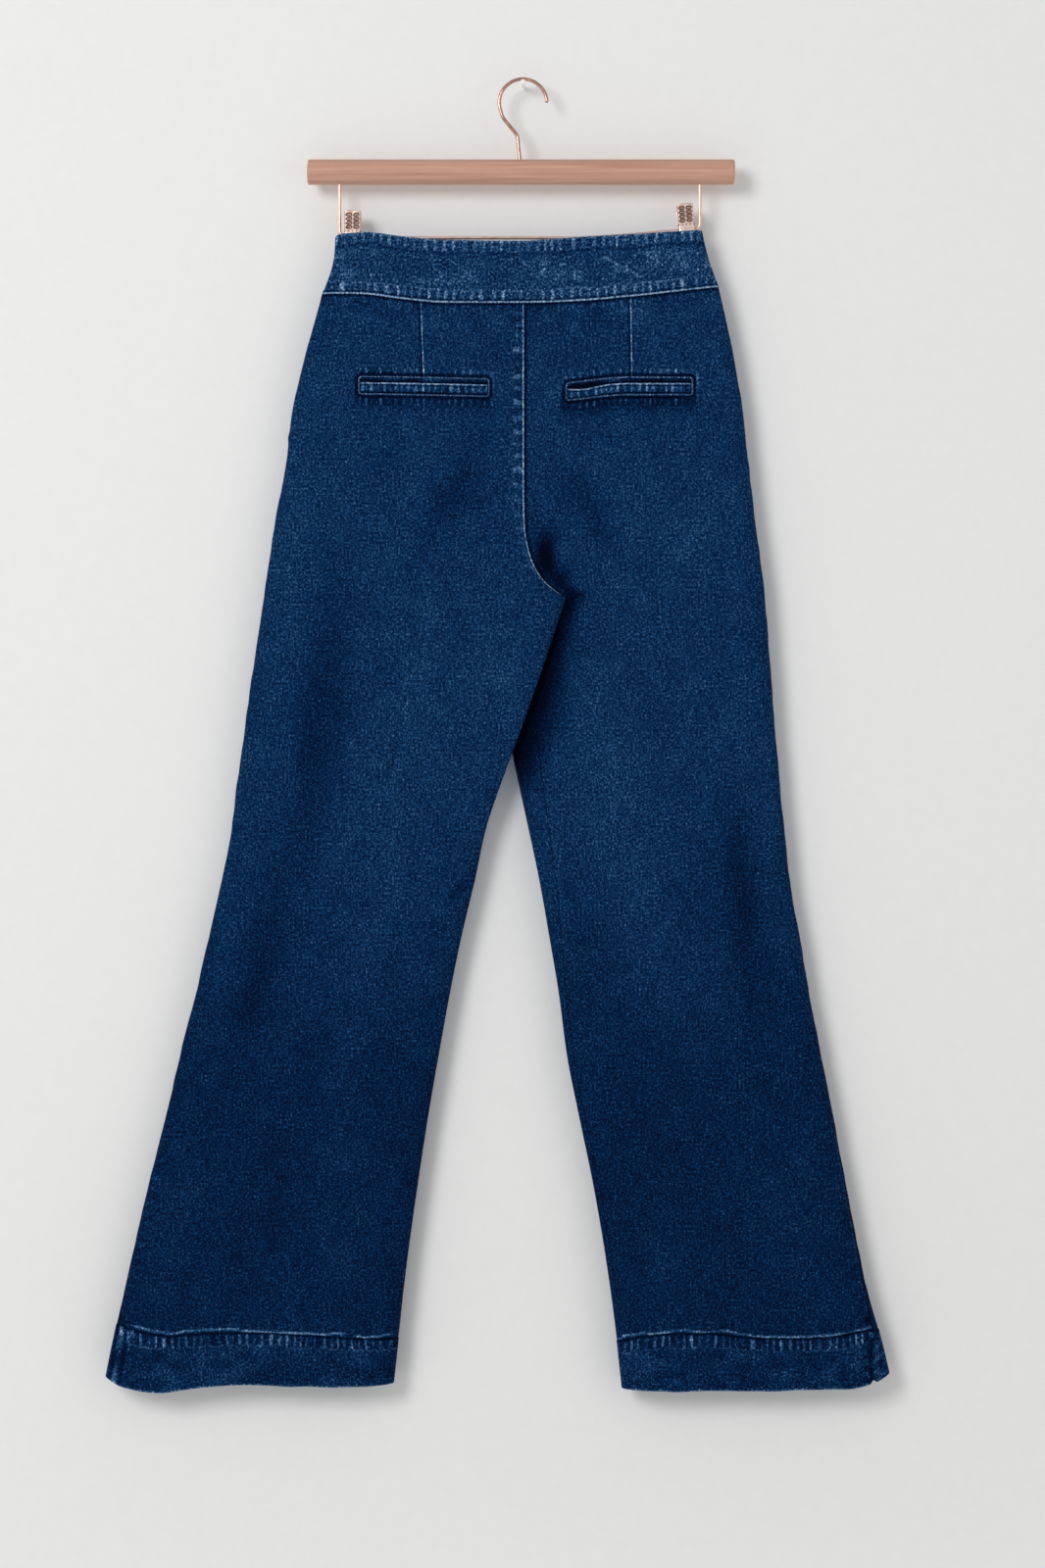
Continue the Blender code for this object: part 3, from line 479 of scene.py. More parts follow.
def edge_distance(points, there):
    """How far each grid point lies from the nearest free edge of the cloth."""
    far = 1e3
    right = np.linalg.norm(np.diff(points, axis=1), axis=2)
    down = np.linalg.norm(np.diff(points, axis=0), axis=2)
    found = np.full(there.shape, far)
    for steps, axis in ((right, 1), (down, 0)):
        for way in (1, -1):
            reach = np.full(there.shape, far)
            lines = range(there.shape[axis])
            order = list(lines) if way == 1 else list(lines)[::-1]
            last = None
            for line in order:
                here = (slice(None), line) if axis == 1 else (line, slice(None))
                if last is None:
                    reach[here] = 0.0
                else:
                    gap = min(line, last)
                    step = steps[:, gap] if axis == 1 else steps[gap, :]
                    before = (slice(None), last) if axis == 1 else (last, slice(None))
                    reach[here] = np.where(there[before], reach[before] + step, 0.0)
                last = line
            found = np.minimum(found, reach)
    return np.where(there, found, far)


def grid_normals(points, there):
    """Normals of a grid of points, taken apart above and below the level where a block of it is missing."""
    corner = inner_corner(there)
    if corner is None:
        return unit_normals(points)
    row, column = corner
    normals = np.empty(points.shape)
    normals[:row, : column + 1] = unit_normals(points[: row + 1, : column + 1])[:row]
    normals[:row, column + 1 :] = (0.0, 1.0, 0.0)
    normals[row:] = unit_normals(points[row:])
    return normals


def inner_corner(there):
    """The grid place of the corner where a block of the grid is missing, or None."""
    if there.all():
        return None
    column = int(np.argmax(~there[0])) - 1
    row = int(np.argmax(there[:, -1]))
    return row, column


# Distances that stand for no line near, and for no seam near
NO_LINE = 50.0
FAR = 99.0

# Numbers that the denim reads at each point, with what they are where nothing sets them: the worn share,
# the share of painted shade and darker tone, the strength and phase of a puckered strip, signed distances in
# mm from a worn line, a faint line, a pocket's frame and a dart, and how much of the dart's line shows
FIELDS = {
    "wear": 0.0, "deep": 0.0, "strip": 0.0, "phase": 0.0, "edge_mm": NO_LINE, "faint_mm": NO_LINE,
    "frame_mm": NO_LINE, "dart_mm": NO_LINE, "dart_on": 0.0,
}


def blank_fields(shape):
    return {name: np.full(shape, value) for name, value in FIELDS.items()}


def add_line(fields, name, distance):
    """A line runs where the signed distance, positive on the cloth's inner side, passes 0."""
    fields[name] = np.minimum(fields[name], distance)


def facing(normals, column, way):
    """Normals turned so that the one a third of the way down a column faces a given way."""
    return -normals if normals[len(normals) // 3, column] @ np.array(way) < 0 else normals


def cut_places(points, middle_column):
    """Grain coordinates: arc length across the cloth from the middle column, and height along it."""
    steps = np.linalg.norm(np.diff(points, axis=1), axis=2)
    arc = np.concatenate([np.zeros((len(points), 1)), np.cumsum(steps, axis=1)], axis=1)
    way = np.sign(points[0, -1, 0] - points[0, 0, 0]) or 1.0
    across = points[:, [middle_column], 0] + way * (arc - arc[:, [middle_column]])
    return np.stack([across, points[..., 2], 0 * across], axis=2) * MM


def cloth_wall(name, points, out_way, thickness, fields, material, there=None, middle_column=None):
    """A closed cloth wall from a grid of points on its outer surface, with rounded free edges.

    out_way is the direction that the middle of the grid faces. fields are numbers at each grid point, which
    the material reads beside the cut's places and the mark of the inner surface.
    """
    there = np.ones(points.shape[:2], bool) if there is None else there
    rows, columns = there.shape
    outward = facing(grid_normals(points, there), columns // 3, out_way)
    edge = edge_distance(points, there)
    corner = inner_corner(there)
    if corner:
        edge = np.minimum(edge, np.linalg.norm(points - points[corner], axis=2))
    half = thickness / 2 + 0 * edge
    tuck = half - np.sqrt(np.maximum(half**2 - (half - np.minimum(edge, half)) ** 2, 0.0))
    outer = points - outward * tuck[..., None]
    inner = points - outward * (2 * half - tuck)[..., None]

    cells = there[:-1, :-1] & there[:-1, 1:] & there[1:, :-1] & there[1:, 1:]
    touching = np.zeros(there.shape, int)
    for row, column in ((0, 0), (0, 1), (1, 0), (1, 1)):
        touching[row : rows - 1 + row, column : columns - 1 + column] += cells
    rim = there & (touching < 4)
    outer_number = np.full(there.shape, -1)
    outer_number[there] = np.arange(there.sum())
    inner_number = outer_number.copy()
    inside = there & ~rim
    inner_number[inside] = there.sum() + np.arange(inside.sum())
    outer[rim] = (outer[rim] + inner[rim]) / 2

    places = np.concatenate([outer[there], inner[inside]]) * MM
    row, column = np.nonzero(cells)
    quads = []
    for number in (outer_number, inner_number):
        upper = [number[row, column], number[row, column + 1]]
        lower = [number[row + 1, column + 1], number[row + 1, column]]
        quads.append(np.stack(upper + lower, axis=1))
    probe = len(row) // 3
    first = places[quads[0][probe]]
    same_way = np.cross(first[1] - first[0], first[3] - first[0]) @ outward[row[probe], column[probe]] > 0
    turned = 1 if same_way else 0
    quads[turned] = quads[turned][:, ::-1]

    mesh = bpy.data.meshes.new(name)
    mesh.from_pydata(places.tolist(), [], np.concatenate(quads).tolist())
    mesh.shade_smooth()
    marks = {field: fields.get(field, np.full(there.shape, blank)) for field, blank in FIELDS.items()}
    marks = {field: np.concatenate([values[there], values[inside]]) for field, values in marks.items()}
    marks["inside"] = np.concatenate([np.zeros(there.sum()), np.ones(inside.sum())])
    for field, values in marks.items():
        mesh.attributes.new(field, "FLOAT", "POINT").data.foreach_set("value", values.astype(np.float32))
    cut = cut_places(points, columns // 2 if middle_column is None else middle_column)
    cut = np.concatenate([cut[there], cut[inside]]).astype(np.float32)
    mesh.attributes.new("cut", "FLOAT_VECTOR", "POINT").data.foreach_set("vector", cut.ravel())
    return new_piece(name, mesh, material)


def new_piece(name, data, material):
    piece = bpy.data.objects.new(name, data)
    data.materials.append(material)
    bpy.context.scene.collection.objects.link(piece)
    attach(piece, "root")
    return piece


def dense_shares(count, refined=()):
    """Evenly spread shares between 0 and 1, with extra ones round some places: (share, reach, step)."""
    shares = set(np.round(np.linspace(0.0, 1.0, count + 1)[1:-1], 5))
    for place, reach, step in refined:
        shares = {share for share in shares if abs(share - place) > reach}
        shares |= set(np.round(np.arange(place - reach, place + reach + step / 2, step), 5))
    return np.array(sorted(share for share in shares if 0.0 < share < 1.0))


EDGE_TURNS = (0.0, 0.012, 0.03, 0.055, 0.09)
SEAM_TURNS = (0.0, 0.09, 0.14, 0.19, 0.25, 0.32, 0.40)


def turn_list(starts, count):
    """Angles of a quarter turn, crowded at its start."""
    rest = np.linspace(starts[-1], math.pi / 2, count + 1)[1:]
    return np.concatenate([np.array(starts), rest])


# The darts' upper end, the level below which a back panel's columns have let go of its dart and its pocket's
# ends, and the stretch over which they let go
ANCHOR_TOP = -206.0
ANCHOR_LOW = -420.0
ANCHOR_FADE = 90.0


def anchor_x(top_x, low_x, low_z, level):
    """x of a column that keeps to a dart, or to an upright line where both x are the same."""
    return mix(top_x, low_x, np.clip((level - ANCHOR_TOP) / (low_z - ANCHOR_TOP), 0.0, 1.0))


def main_columns_x(side, level, start, end, shares, fine, anchors=()):
    """x of every main column: round the edge, across the layer, and round the seam or fold.

    anchors are the columns that keep to a line in the seat: their shares, and the line as anchor_x takes it.
    """
    head = turn_list(EDGE_TURNS, 12 if fine else 7)
    tail = turn_list(SEAM_TURNS, 10 if fine else 6)[::-1]
    rounding = depths["rounding"](level)
    first = start + side * rounding * (1 - np.cos(head))
    last = end - side * FOLD_ROUND * (1 - np.cos(tail))
    between = mix(first[:, -1:], last[:, :1], shares[None, :])
    if anchors:
        knots = [0.0, *[share for share, *_ in anchors], 1.0]
        for row, z in enumerate(level[:, 0]):
            held = eased((z - ANCHOR_LOW) / ANCHOR_FADE)
            places = [first[row, -1]]
            for share, *line in anchors:
                straight = mix(first[row, -1], last[row, 0], share)
                places.append(mix(straight, anchor_x(*line, z), held))
            between[row] = np.interp(shares, knots, [*places, last[row, 0]])
    return np.concatenate([first, between, last], axis=1)


def spread(start, end, step):
    """Levels from start down to end, about a step apart, without the last."""
    count = max(1, int(round(abs(start - end) / step)))
    return list(np.linspace(start, end, count + 1)[:-1])


def seat_levels(fine):
    edge = [BAND_LEVEL - drop for drop in (0.0, 0.12, 0.35, 0.65)]
    if not fine:
        return np.array(edge + spread(-211.4, -230.0, 3.0) + spread(-230.0, CROTCH, 5.5))
    pocket_top, pocket_low = -270.0, -308.0
    top = spread(-211.4, -224.0, 1.4) + spread(-224.0, pocket_top, 3.0)
    return np.array(edge + top + spread(pocket_top, pocket_low, 0.95) + spread(pocket_low, CROTCH, 3.4))


def leg_levels(fine):
    low = [HEM_LEVEL + rise for rise in (1.6, 1.1, 0.65, 0.35, 0.12, 0.0)]
    top = CROTCH - 0.001
    if not fine:
        return np.array([top] + spread(top - 5, -1150.0, 7.0) + spread(-1150.0, HEM_LEVEL + 2.4, 3.0) + low)
    middle = spread(top - 3, -1060.0, 4.9) + spread(-1060.0, -1158.0, 3.8)
    return np.array([top] + middle + spread(-1158.0, HEM_LEVEL + 2.4, 1.4) + low)


# Extra columns of a back panel round its pocket's ends and its dart: how far they reach, and their step
POCKET_COLUMNS = (4.4, 0.7)
DART_COLUMNS = (2.6, 0.6)
POCKET_LEVEL = -285.0


def panel_shares(side, face):
    """The columns between the panel's rounded ends, as shares, and those that keep to the dart and pocket."""
    if face == FRONT:
        return dense_shares(46), ()
    level = np.array([[POCKET_LEVEL]])
    start = outer_edge(side, level) + side * depths["rounding"](level)
    width = float((centre_seam(face, level) - side * FOLD_ROUND - start)[0, 0])
    start = float(start[0, 0])
    name = SIDE_NAMES[side]
    dart = DARTS[name]
    outer_x, inner_x = POCKETS[name][0] - side * FRAME_MARGIN, POCKETS[name][1] + side * FRAME_MARGIN
    ends = [(x, x, dart[2]) for x in (outer_x, inner_x)]
    anchors, refined = [], []
    for line, (reach, step) in ((ends[0], POCKET_COLUMNS), (dart, DART_COLUMNS), (ends[1], POCKET_COLUMNS)):
        share = (anchor_x(*line, POCKET_LEVEL) - start) / width
        anchors.append((share, *line))
        refined.append((share, abs(reach / width), abs(step / width)))
    return dense_shares(74, refined), tuple(anchors)


def panel_points(side, face):
    """The outer surface of a leg panel as a grid of points, with the missing block beside the seat's seam."""
    near, fine = near_face(side), face == BACK
    half_gap = SEAM_GAP / 2
    shares, anchors = panel_shares(side, face)
    forks = np.concatenate([np.linspace(0, 1, 14 if fine else 8)[1:-1], [0.965, 0.988, 0.997, 1.0]])

    level = seat_levels(fine)[:, None]
    start = outer_edge(side, level)
    start = outer_edge(side, seat_height(level, start))
    end = centre_seam(face, level) - half_gap * side
    x = main_columns_x(side, level, start, end, shares, fine, anchors)
    z = seat_height(level, x)
    seat_part = np.stack([x, cloth_y(side, face, x, z), z], axis=2)
    empty = np.repeat(seat_part[:, -1:], len(forks), axis=1)
    seat_part = np.concatenate([seat_part, empty], axis=1)

    level = leg_levels(fine)[:, None]
    inseam = passing["inseam"](level)
    fold = inner_fold(side, level)
    end = fold if face == near else fold - side * (inseam + FORK)
    x = main_columns_x(side, level, outer_edge(side, level), end, shares, fine)
    if face == near:
        beyond = fold - side * (inseam - half_gap) * forks[None, :] ** FORK_CROWDING
        beyond_face = -face
    else:
        beyond = fold - side * (inseam + half_gap + FORK * (1 - forks[None, :]))
        beyond_face = face
    parts = []
    for place, layer in ((x, face), (beyond, beyond_face)):
        share = across_share(side, place, level)
        height = leg_height(side, level, share)
        place = mix(outer_edge(side, height), inner_fold(side, height), share)
        parts.append(np.stack([place, cloth_y(side, layer, place, height), height], axis=2))
    leg_part = np.concatenate(parts, axis=1)
    points = np.concatenate([seat_part, leg_part], axis=0)
    there = np.ones(points.shape[:2], bool)
    there[: seat_part.shape[0], x.shape[1] :] = False
    return points, there, x.shape[1]


def pocket_upper(name, share):
    _, _, outer_z, middle_z, inner_z = POCKETS[name]
    rows = ((0.0, outer_z), (0.5, middle_z), (1.0, inner_z))
    return smooth_curve(rows, ("share", "z"), "z")(share)


def frame_distance(name, x, z):
    """Signed distance from the pocket frame's line, a rounded rectangle, positive outside it."""
    outer_x, inner_x = POCKETS[name][:2]
    share = np.clip((x - outer_x) / (inner_x - outer_x), 0.0, 1.0)
    top = pocket_upper(name, share) + FRAME_MARGIN * 0.6
    middle = top - (POCKET_HEIGHT + FRAME_MARGIN * 1.5) / 2
    corner = 2.6
    dx = np.abs(x - (outer_x + inner_x) / 2) - abs(inner_x - outer_x) / 2 - FRAME_MARGIN + corner
    dz = np.abs(z - middle) - (POCKET_HEIGHT + FRAME_MARGIN * 1.5) / 2 + corner
    outside = np.hypot(np.maximum(dx, 0), np.maximum(dz, 0))
    return outside + np.minimum(np.maximum(dx, dz), 0.0) - corner


def crook_shade(x, z):
    """How dark the right leg is beside the inner edge of the left leg, which lies over it."""
    beside = x - inner_fold(LEFT, z)
    crook = eased((CROTCH + 12.0 - z) / 14.0) * eased((z + 700.0) / 60.0) * eased((beside + 2.0) / 2.0)
    return 1.9 * crook * bell(np.maximum(beside, 0) / (11.0 + 14.0 * eased((-500.0 - z) / 110.0)))


def back_relief(side, x, z, fields):
    """How the seams, dart and pocket lift the back panel, where they wear it, and where shade is painted
    beside them.
    """
    name = SIDE_NAMES[side]
    in_seat = z >= CROTCH
    below_band = band["seam_z"](x) - SEAM_GAP / 2 - z
    near_band = np.where(in_seat, plateau(below_band, 1.5, 6.0, 3.0), 0.0)
    rise = 0.25 * puckers(fields, SEEDS["below_band"] + side, x, below_band, near_band, 8.5, 0.35)
    # Painted shade in the ditch just below the waistband's seam
    fields["deep"] += 1.1 * np.where(in_seat, bell(below_band / 1.7), 0.0)
    tugs = Noise(SEEDS["tugs"] + side)((x + 0.5 * below_band) / 15.0 + 50, (below_band - 0.3 * x) / 9.0 + 60)
    tugs = np.clip(tugs, -0.6, 1)
    tugged = np.where(in_seat, plateau(below_band, 3.0, 22.0, 9.0), 0.0)
    rise = rise + 0.35 * tugged * tugs
    fields["wear"] += 0.075 * tugged * tugs

    to_seam = np.where(in_seat, (centre_seam(BACK, z) - x) * side, FAR)
    if side == LEFT:
        strong = mix(0.35, 1.0, eased((z + 420.0) / 60.0)) * eased((z + 482.0) / 20.0)
        allowance = plateau(to_seam, 2.0, 10.6, 1.0) * strong
        ripple = puckers(fields, SEEDS["back_seam"], z, to_seam, allowance, 12.5, 0.7)
        rise = rise + 0.42 * allowance + 0.40 * ripple
        worn = Noise(SEEDS["back_seam_wear"])(z / 9.0 + 50, to_seam / 7.0)
        fields["wear"] += 0.09 * allowance * (0.8 + worn)
        add_line(fields, "edge_mm", (to_seam - 0.9) / 1.25)
        edge = to_seam - 11.3 + 0.7 * Noise(SEEDS["back_seam_edge"])(z / 13.0 + 40) + 12.0 * (1 - strong)
        add_line(fields, "faint_mm", np.where(in_seat, np.abs(edge), NO_LINE))
        # Painted shade in the hollow between the seam's edge and its allowance
        fields["deep"] += 0.7 * bell((to_seam - 2.4) / 0.8) * strong
    else:
        # The right panel dips beside the seam: painted shade in that ditch and in the valley by the crotch,
        # and the left leg's painted shadow
        rise = rise - 0.45 * bell(to_seam / 2.4)
        fields["deep"] += 1.0 * bell((to_seam - 1.0) / 1.5)
        fields["deep"] += 1.1 * bell((to_seam - 13.0) / 9.0) * bell((z + 452.0) / 26.0) + crook_shade(x, z)

    top_x, low_x, low_z = DARTS[name]
    down = np.clip((band["seam_z"](x) - z) / (band["seam_z"](x) - low_z), 0.0, 1.0)
    from_dart = x - mix(top_x, low_x, down)
    shows = np.where(in_seat, plateau(z, low_z, -204.0, 2.5), 0.0)
    rise = rise + shows * (0.30 * bell((from_dart - 0.5) / 1.1) - 0.45 * bell((from_dart + 1.4) / 1.0))
    rise = rise + shows * 0.6 * bell(from_dart / 13.0)
    fields["dart_mm"], fields["dart_on"] = from_dart, shows
    # Painted shade in the dart's groove
    fields["deep"] += 0.75 * shows * bell((from_dart + 1.7) / 1.1)
    return rise + pocket_relief(side, x, z, bell(from_dart / 3.0), fields)


def pocket_relief(side, x, z, at_dart, fields):
    """The pocket's edge-stitched frame, the ripples at its ends and the folds under it, with painted shade in
    its groove, below it and inside it.
    """
    name = SIDE_NAMES[side]
    in_seat = z >= CROTCH
    around = np.where(in_seat, 1.0, 0.0)
    off_frame = frame_distance(name, x, z)
    under = eased((-289.0 - z) / 4.0)
    middle = sum(POCKETS[name][:2]) / 2
    ends = bell(np.maximum(np.abs(x - middle) - 60.0, 0) / 4.5)
    ring = plateau(off_frame, 4.2, mix(7.5, 9.5, under), 1.6) * around * (1 - 0.7 * under * at_dart)
    ripple = puckers(fields, SEEDS["pocket"] + side, x, off_frame, ring * ends, 6.4, 0.8)
    rise = 0.22 * ring * ends + 0.36 * ripple
    for away, wobble in ((11.0, 1.2), (15.5, 1.8)):
        bend = wobble * Noise(SEEDS["pocket_folds"] + side)(x / 15.0 + 60, away)
        fold = np.abs(off_frame - away + bend)
        fold = fold + 60.0 * (1 - under * bell((x - middle) / 52.0)) + 3.0 * at_dart
        add_line(fields, "faint_mm", np.where(in_seat, fold, NO_LINE))
        rise = rise + 0.30 * bell(fold / 1.8) * around
    ditch, line = bell((off_frame - 2.3) / 1.5), bell(off_frame / 0.8)
    rise = rise + around * (0.40 * line - 1.15 * ditch - 0.9 * eased(-off_frame / 1.2))
    fields["frame_mm"] = np.where(in_seat, off_frame, NO_LINE)
    # Painted shade in the groove round the frame, unevenly dark
    dark = 1.25 + 0.5 * Noise(SEEDS["pocket_dark"] + side)(x / 19.0 + 50, z / 19.0 + 90)
    fields["deep"] += around * dark * bell((off_frame - 2.3) / 1.4)
    # Painted shadow below the pocket
    below = 0.22 if side == LEFT else 0.45
    fields["deep"] += around * below * under * bell((off_frame - 9.0) / 7.0) * ends
    worn = 1 + Noise(SEEDS["pocket_wear"] + side)(x / 13.0 + 50)
    fields["wear"] += around * 0.10 * ring * ends * (1 - under) * worn
    # Painted shade inside the frame, under the strips and in the mouth
    fields["deep"] += around * 1.3 * eased((-0.7 - off_frame) / 0.5)
    return rise


def side_relief(side, face, x, z, fields):
    """The outseam's line, its allowances, and the ridge of the panel's lower edge, with painted shade in
    their hollows.
    """
    from_side = (x - outer_edge(side, z)) * side
    line = outseam[SIDE_NAMES[side]](z) if face == BACK else 1.2
    in_leg = z < CROTCH
    strip = plateau(from_side, line + 1.4, line + 8.0, 2.5) * mix(0.25, 1.0, eased((-860.0 - z) / 260.0))
    ripple = puckers(fields, SEEDS["outseam"] + 3 * side + face, z, from_side, strip, 9.5, 0.28)
    rise = 0.12 * strip + 0.26 * ripple
    if face == BACK:
        shows = eased((-1120.0 - z) / 30.0) if side == LEFT else eased((-905.0 - z) / 70.0)
        rise = rise - shows * 0.45 * bell((from_side - line + 0.9) / 0.8)
        add_line(fields, "faint_mm", np.abs(from_side - line) / 1.3 + 30.0 * (1 - shows))
        # Painted shade in the outseam's groove
        fields["deep"] += 0.7 * shows * bell((from_side - line + 1.5) / 1.2)
        # A dent where the hem's seam meets the outseam, with painted shade in it
        dent = bell((from_side - line - 1.0) / 3.0) * bell((z + 1157.5) / 3.2)
        rise = rise - 0.9 * dent
        fields["deep"] += 0.9 * dent

    share = across_share(side, x, z)
    seam = hem[SIDE_NAMES[side] + "_seam"](share) + SEAM_GAP / 2
    wobble = Noise(SEEDS["hem_ridge"] + side + 3 * face)
    above_hem = np.where(in_leg, z - seam, FAR)
    ridge_at = 2.0 + 1.5 * wobble(x / 21.0 + 60) + 0.6 * wobble(x / 7.0 + 30)
    ridge = bell((above_hem - ridge_at) / 1.6)
    rise = rise + ridge * (0.65 + 0.25 * wobble(x / 11.0 + 90)) - 0.25 * bell(above_hem / 0.7)
    dips = 1.1 * np.clip(wobble(x / 16.0 + 15) - 0.25, 0, 1)
    add_line(fields, "edge_mm", np.abs(above_hem - ridge_at) / 1.5 + np.where(in_leg, dips, 0.0))
    # Painted shade in the ditch along the hem's seam
    fields["deep"] += 0.15 * bell(above_hem / 0.6)
    near_hem = np.where(in_leg, plateau(above_hem, 4.0, 8.0, 3.0), 0.0)
    ripple = puckers(fields, SEEDS["above_hem"] + side + 5 * face, x, above_hem, near_hem, 9.0, 0.22)
    low = np.where(in_leg, bell((above_hem - 9.0) / 9.0), 0.0)
    return rise + 0.24 * ripple + 0.35 * low * wobble(x / 14.0 + 20, above_hem / 12.0)


def front_relief(side, x, z, fields):
    """The centre-front seam's allowance, rippled as the back's is."""
    to_seam = np.where(z >= CROTCH, (centre_seam(FRONT, z) - x) * side, FAR)
    allowance = plateau(to_seam, 2.0, 9.5, 1.5) * eased((z + 455.0) / 60.0)
    ripple = puckers(fields, SEEDS["front_seam"] + side, z, to_seam, allowance, 10.5, 0.45)
    add_line(fields, "edge_mm", to_seam - 0.8)
    return 0.25 * allowance + 0.32 * ripple


def side_bulge(side, x, z):
    """How far the side seam swells outwards: small uneven bumps, and a bigger one where the zip ends."""
    bumps = 0.35 * Noise(SEEDS["side_bumps"] + side)(z / 11.0 + 300.0)
    bumps = bumps + 0.3 * Noise(SEEDS["side_waves"] + side)(z / 37.0 + 300.0)
    if side == LEFT:
        bumps = bumps + 1.1 * bell((z - ZIP_END) / 4.5) - 0.5 * bell((z - ZIP_END + 7.0) / 4.0)
    fade = eased((-212.0 - z) / 30.0) * eased((z + 1160.0) / 30.0)
    return bumps * fade * bell((x - outer_edge(side, z)) / 5.0)


def leg_panel(name, side, face, material):
    points, there, main_count = panel_points(side, face)
    x, z = points[..., 0], points[..., 2]
    fields = blank_fields(x.shape)
    rise = folds_rise(CREASES, side, face, x, z)
    # Painted shade in the creases' hollows, and painted shade growing down the legs towards the hems
    fields["deep"] += 0.40 * np.clip(-rise, 0, 2) + 0.39 * eased((-640.0 - z) / 360.0)
    fields["wear"] += 0.03 * np.clip(rise, 0, 2)
    wide = Noise(SEEDS["panel_wide"] + side + 2 * face)(x / 33.0 + 40, z / 52.0 + 60)
    small = Noise(SEEDS["panel_small"] + side + 2 * face)(x / 11.0 + 40, z / 17.0 + 90)
    rise = rise + 0.42 * wide + 0.13 * small
    seams = back_relief if face == BACK else front_relief
    rise = rise + seams(side, x, z, fields)
    rise = rise + side_relief(side, face, x, z, fields)

    # The layers lie close round the crotch, so the relief fades there and stays out of the hidden parts
    in_leg = z < CROTCH
    to_fold = (inner_fold(side, z) - x) * side
    to_end = to_fold if face == near_face(side) else to_fold - passing["inseam"](z)
    wrapped = (np.arange(x.shape[1])[None, :] >= main_count) & (face == near_face(side))
    rise = rise * np.where(in_leg, eased(to_end / 9.0) * ~wrapped, 1.0)
    if side == RIGHT:
        fields["deep"] += np.where(wrapped, crook_shade(x, z), 0.0)
    overlap = eased((z + 660.0) / 40.0) * eased((-425.0 - z) / 25.0)
    close = overlap * (1 - eased((to_fold - 20.0) / 70.0))
    rise = np.where(rise < 0, rise * (1 - 0.9 * close), rise)
    rise *= eased(((x - outer_edge(side, z)) * side + 1.5) / 6.0)
    if face != near_face(side):
        rise *= 1 - overlap * (1 - eased(((inner_fold(-side, z) - x) * side - 4.0) / 24.0))

    way = (0, face, 0)
    points = points + facing(grid_normals(points, there), main_count // 3, way) * rise[..., None]
    points[..., 0] -= side * side_bulge(side, x, z)
    return cloth_wall(name, points, way, WALL, fields, material, there, main_count // 2)


def band_grid(face, seam_x, down):
    """x, base y and z of the waistband's outer surface, as grids."""
    ends = BAND[0][0], BAND[-1][0]
    hollow = np.sin(math.pi * down)
    x = mix(band["top_x"](seam_x), seam_x, down)
    x = x + hollow * BAND_HOLLOW_LEFT * np.clip(1 - (seam_x - ends[0]) / BAND_HOLLOW_REACH, 0, 1) ** 2
    x = x - hollow * BAND_HOLLOW_RIGHT * np.clip(1 - (ends[1] - seam_x) / BAND_HOLLOW_REACH, 0, 1) ** 2
    top = band["top_z"](seam_x) if face == BACK else front_top(band["top_x"](seam_x))
    z = mix(top, band["seam_z"](seam_x) + SEAM_GAP / 2, down)
    level = mix(BAND_TOP_LEVEL, BAND_LEVEL, down)
    rounding = depths["rounding"](level)
    name = FACE_NAMES[face]
    depth = depths[name](level) + BAND_PROUD
    left, right = x[:, :1], x[:, -1:]
    roll = rolled((x - left) / rounding) * rolled((right - x) / rounding)
    across = 2 * (x - left) / (right - left) - 1
    crown = 1 - depths[name + "_crown"](level) * across * across
    y = depths["side_y"](level) + face * (depth * crown * roll + SEAM_GAP / 2 * (1 - roll))
    return np.stack([x, y, z], axis=2)


# How far in from a strip's edge its first rows lie
EDGE_ROWS = (0.12, 0.35, 0.7, 1.1, 1.7)


def crowded_ends(length, step, edges):
    """Places from 0 to a length, a step apart and closer at both ends."""
    head = [0.0, *edges]
    count = max(2, int(round((length - 2 * edges[-1]) / step)))
    middle = np.linspace(edges[-1], length - edges[-1], count + 1)[1:-1]
    return np.array([*head, *middle, *[length - place for place in reversed(head)]])


def edge_columns(start, end, first_reach, last_reach, step):
    """Places from start to end, about a step apart and crowded at the two rounded ends."""
    way = np.sign(end - start)
    turned = 1 - np.cos(turn_list(EDGE_TURNS, 10))
    head = start + way * first_reach * turned
    tail = (end - way * last_reach * turned)[::-1]
    count = int(round(abs(tail[0] - head[-1]) / step))
    return np.concatenate([head, np.linspace(head[-1], tail[0], count + 1)[1:-1], tail])


def grid_rows(height, step, edges=EDGE_ROWS):
    """Shares of the way down a strip, a step apart and closer at both edges, as a column."""
    return (crowded_ends(height, step, edges) / height)[:, None]


# Waistband and hem bands: their heights from seam to edge, how far their ends are rounded, and the grid's
# steps across and down, for the back and the front
BAND_HEIGHT = 60.0
BAND_END_REACH = 12.0
BAND_STEPS = {BACK: (1.05, 1.35), FRONT: (1.5, 1.8)}
HEM_HEIGHT = 48.0
HEM_END_REACH = 24.0
HEM_STEPS = {BACK: (1.05, 1.45), FRONT: (1.6, 2.4)}


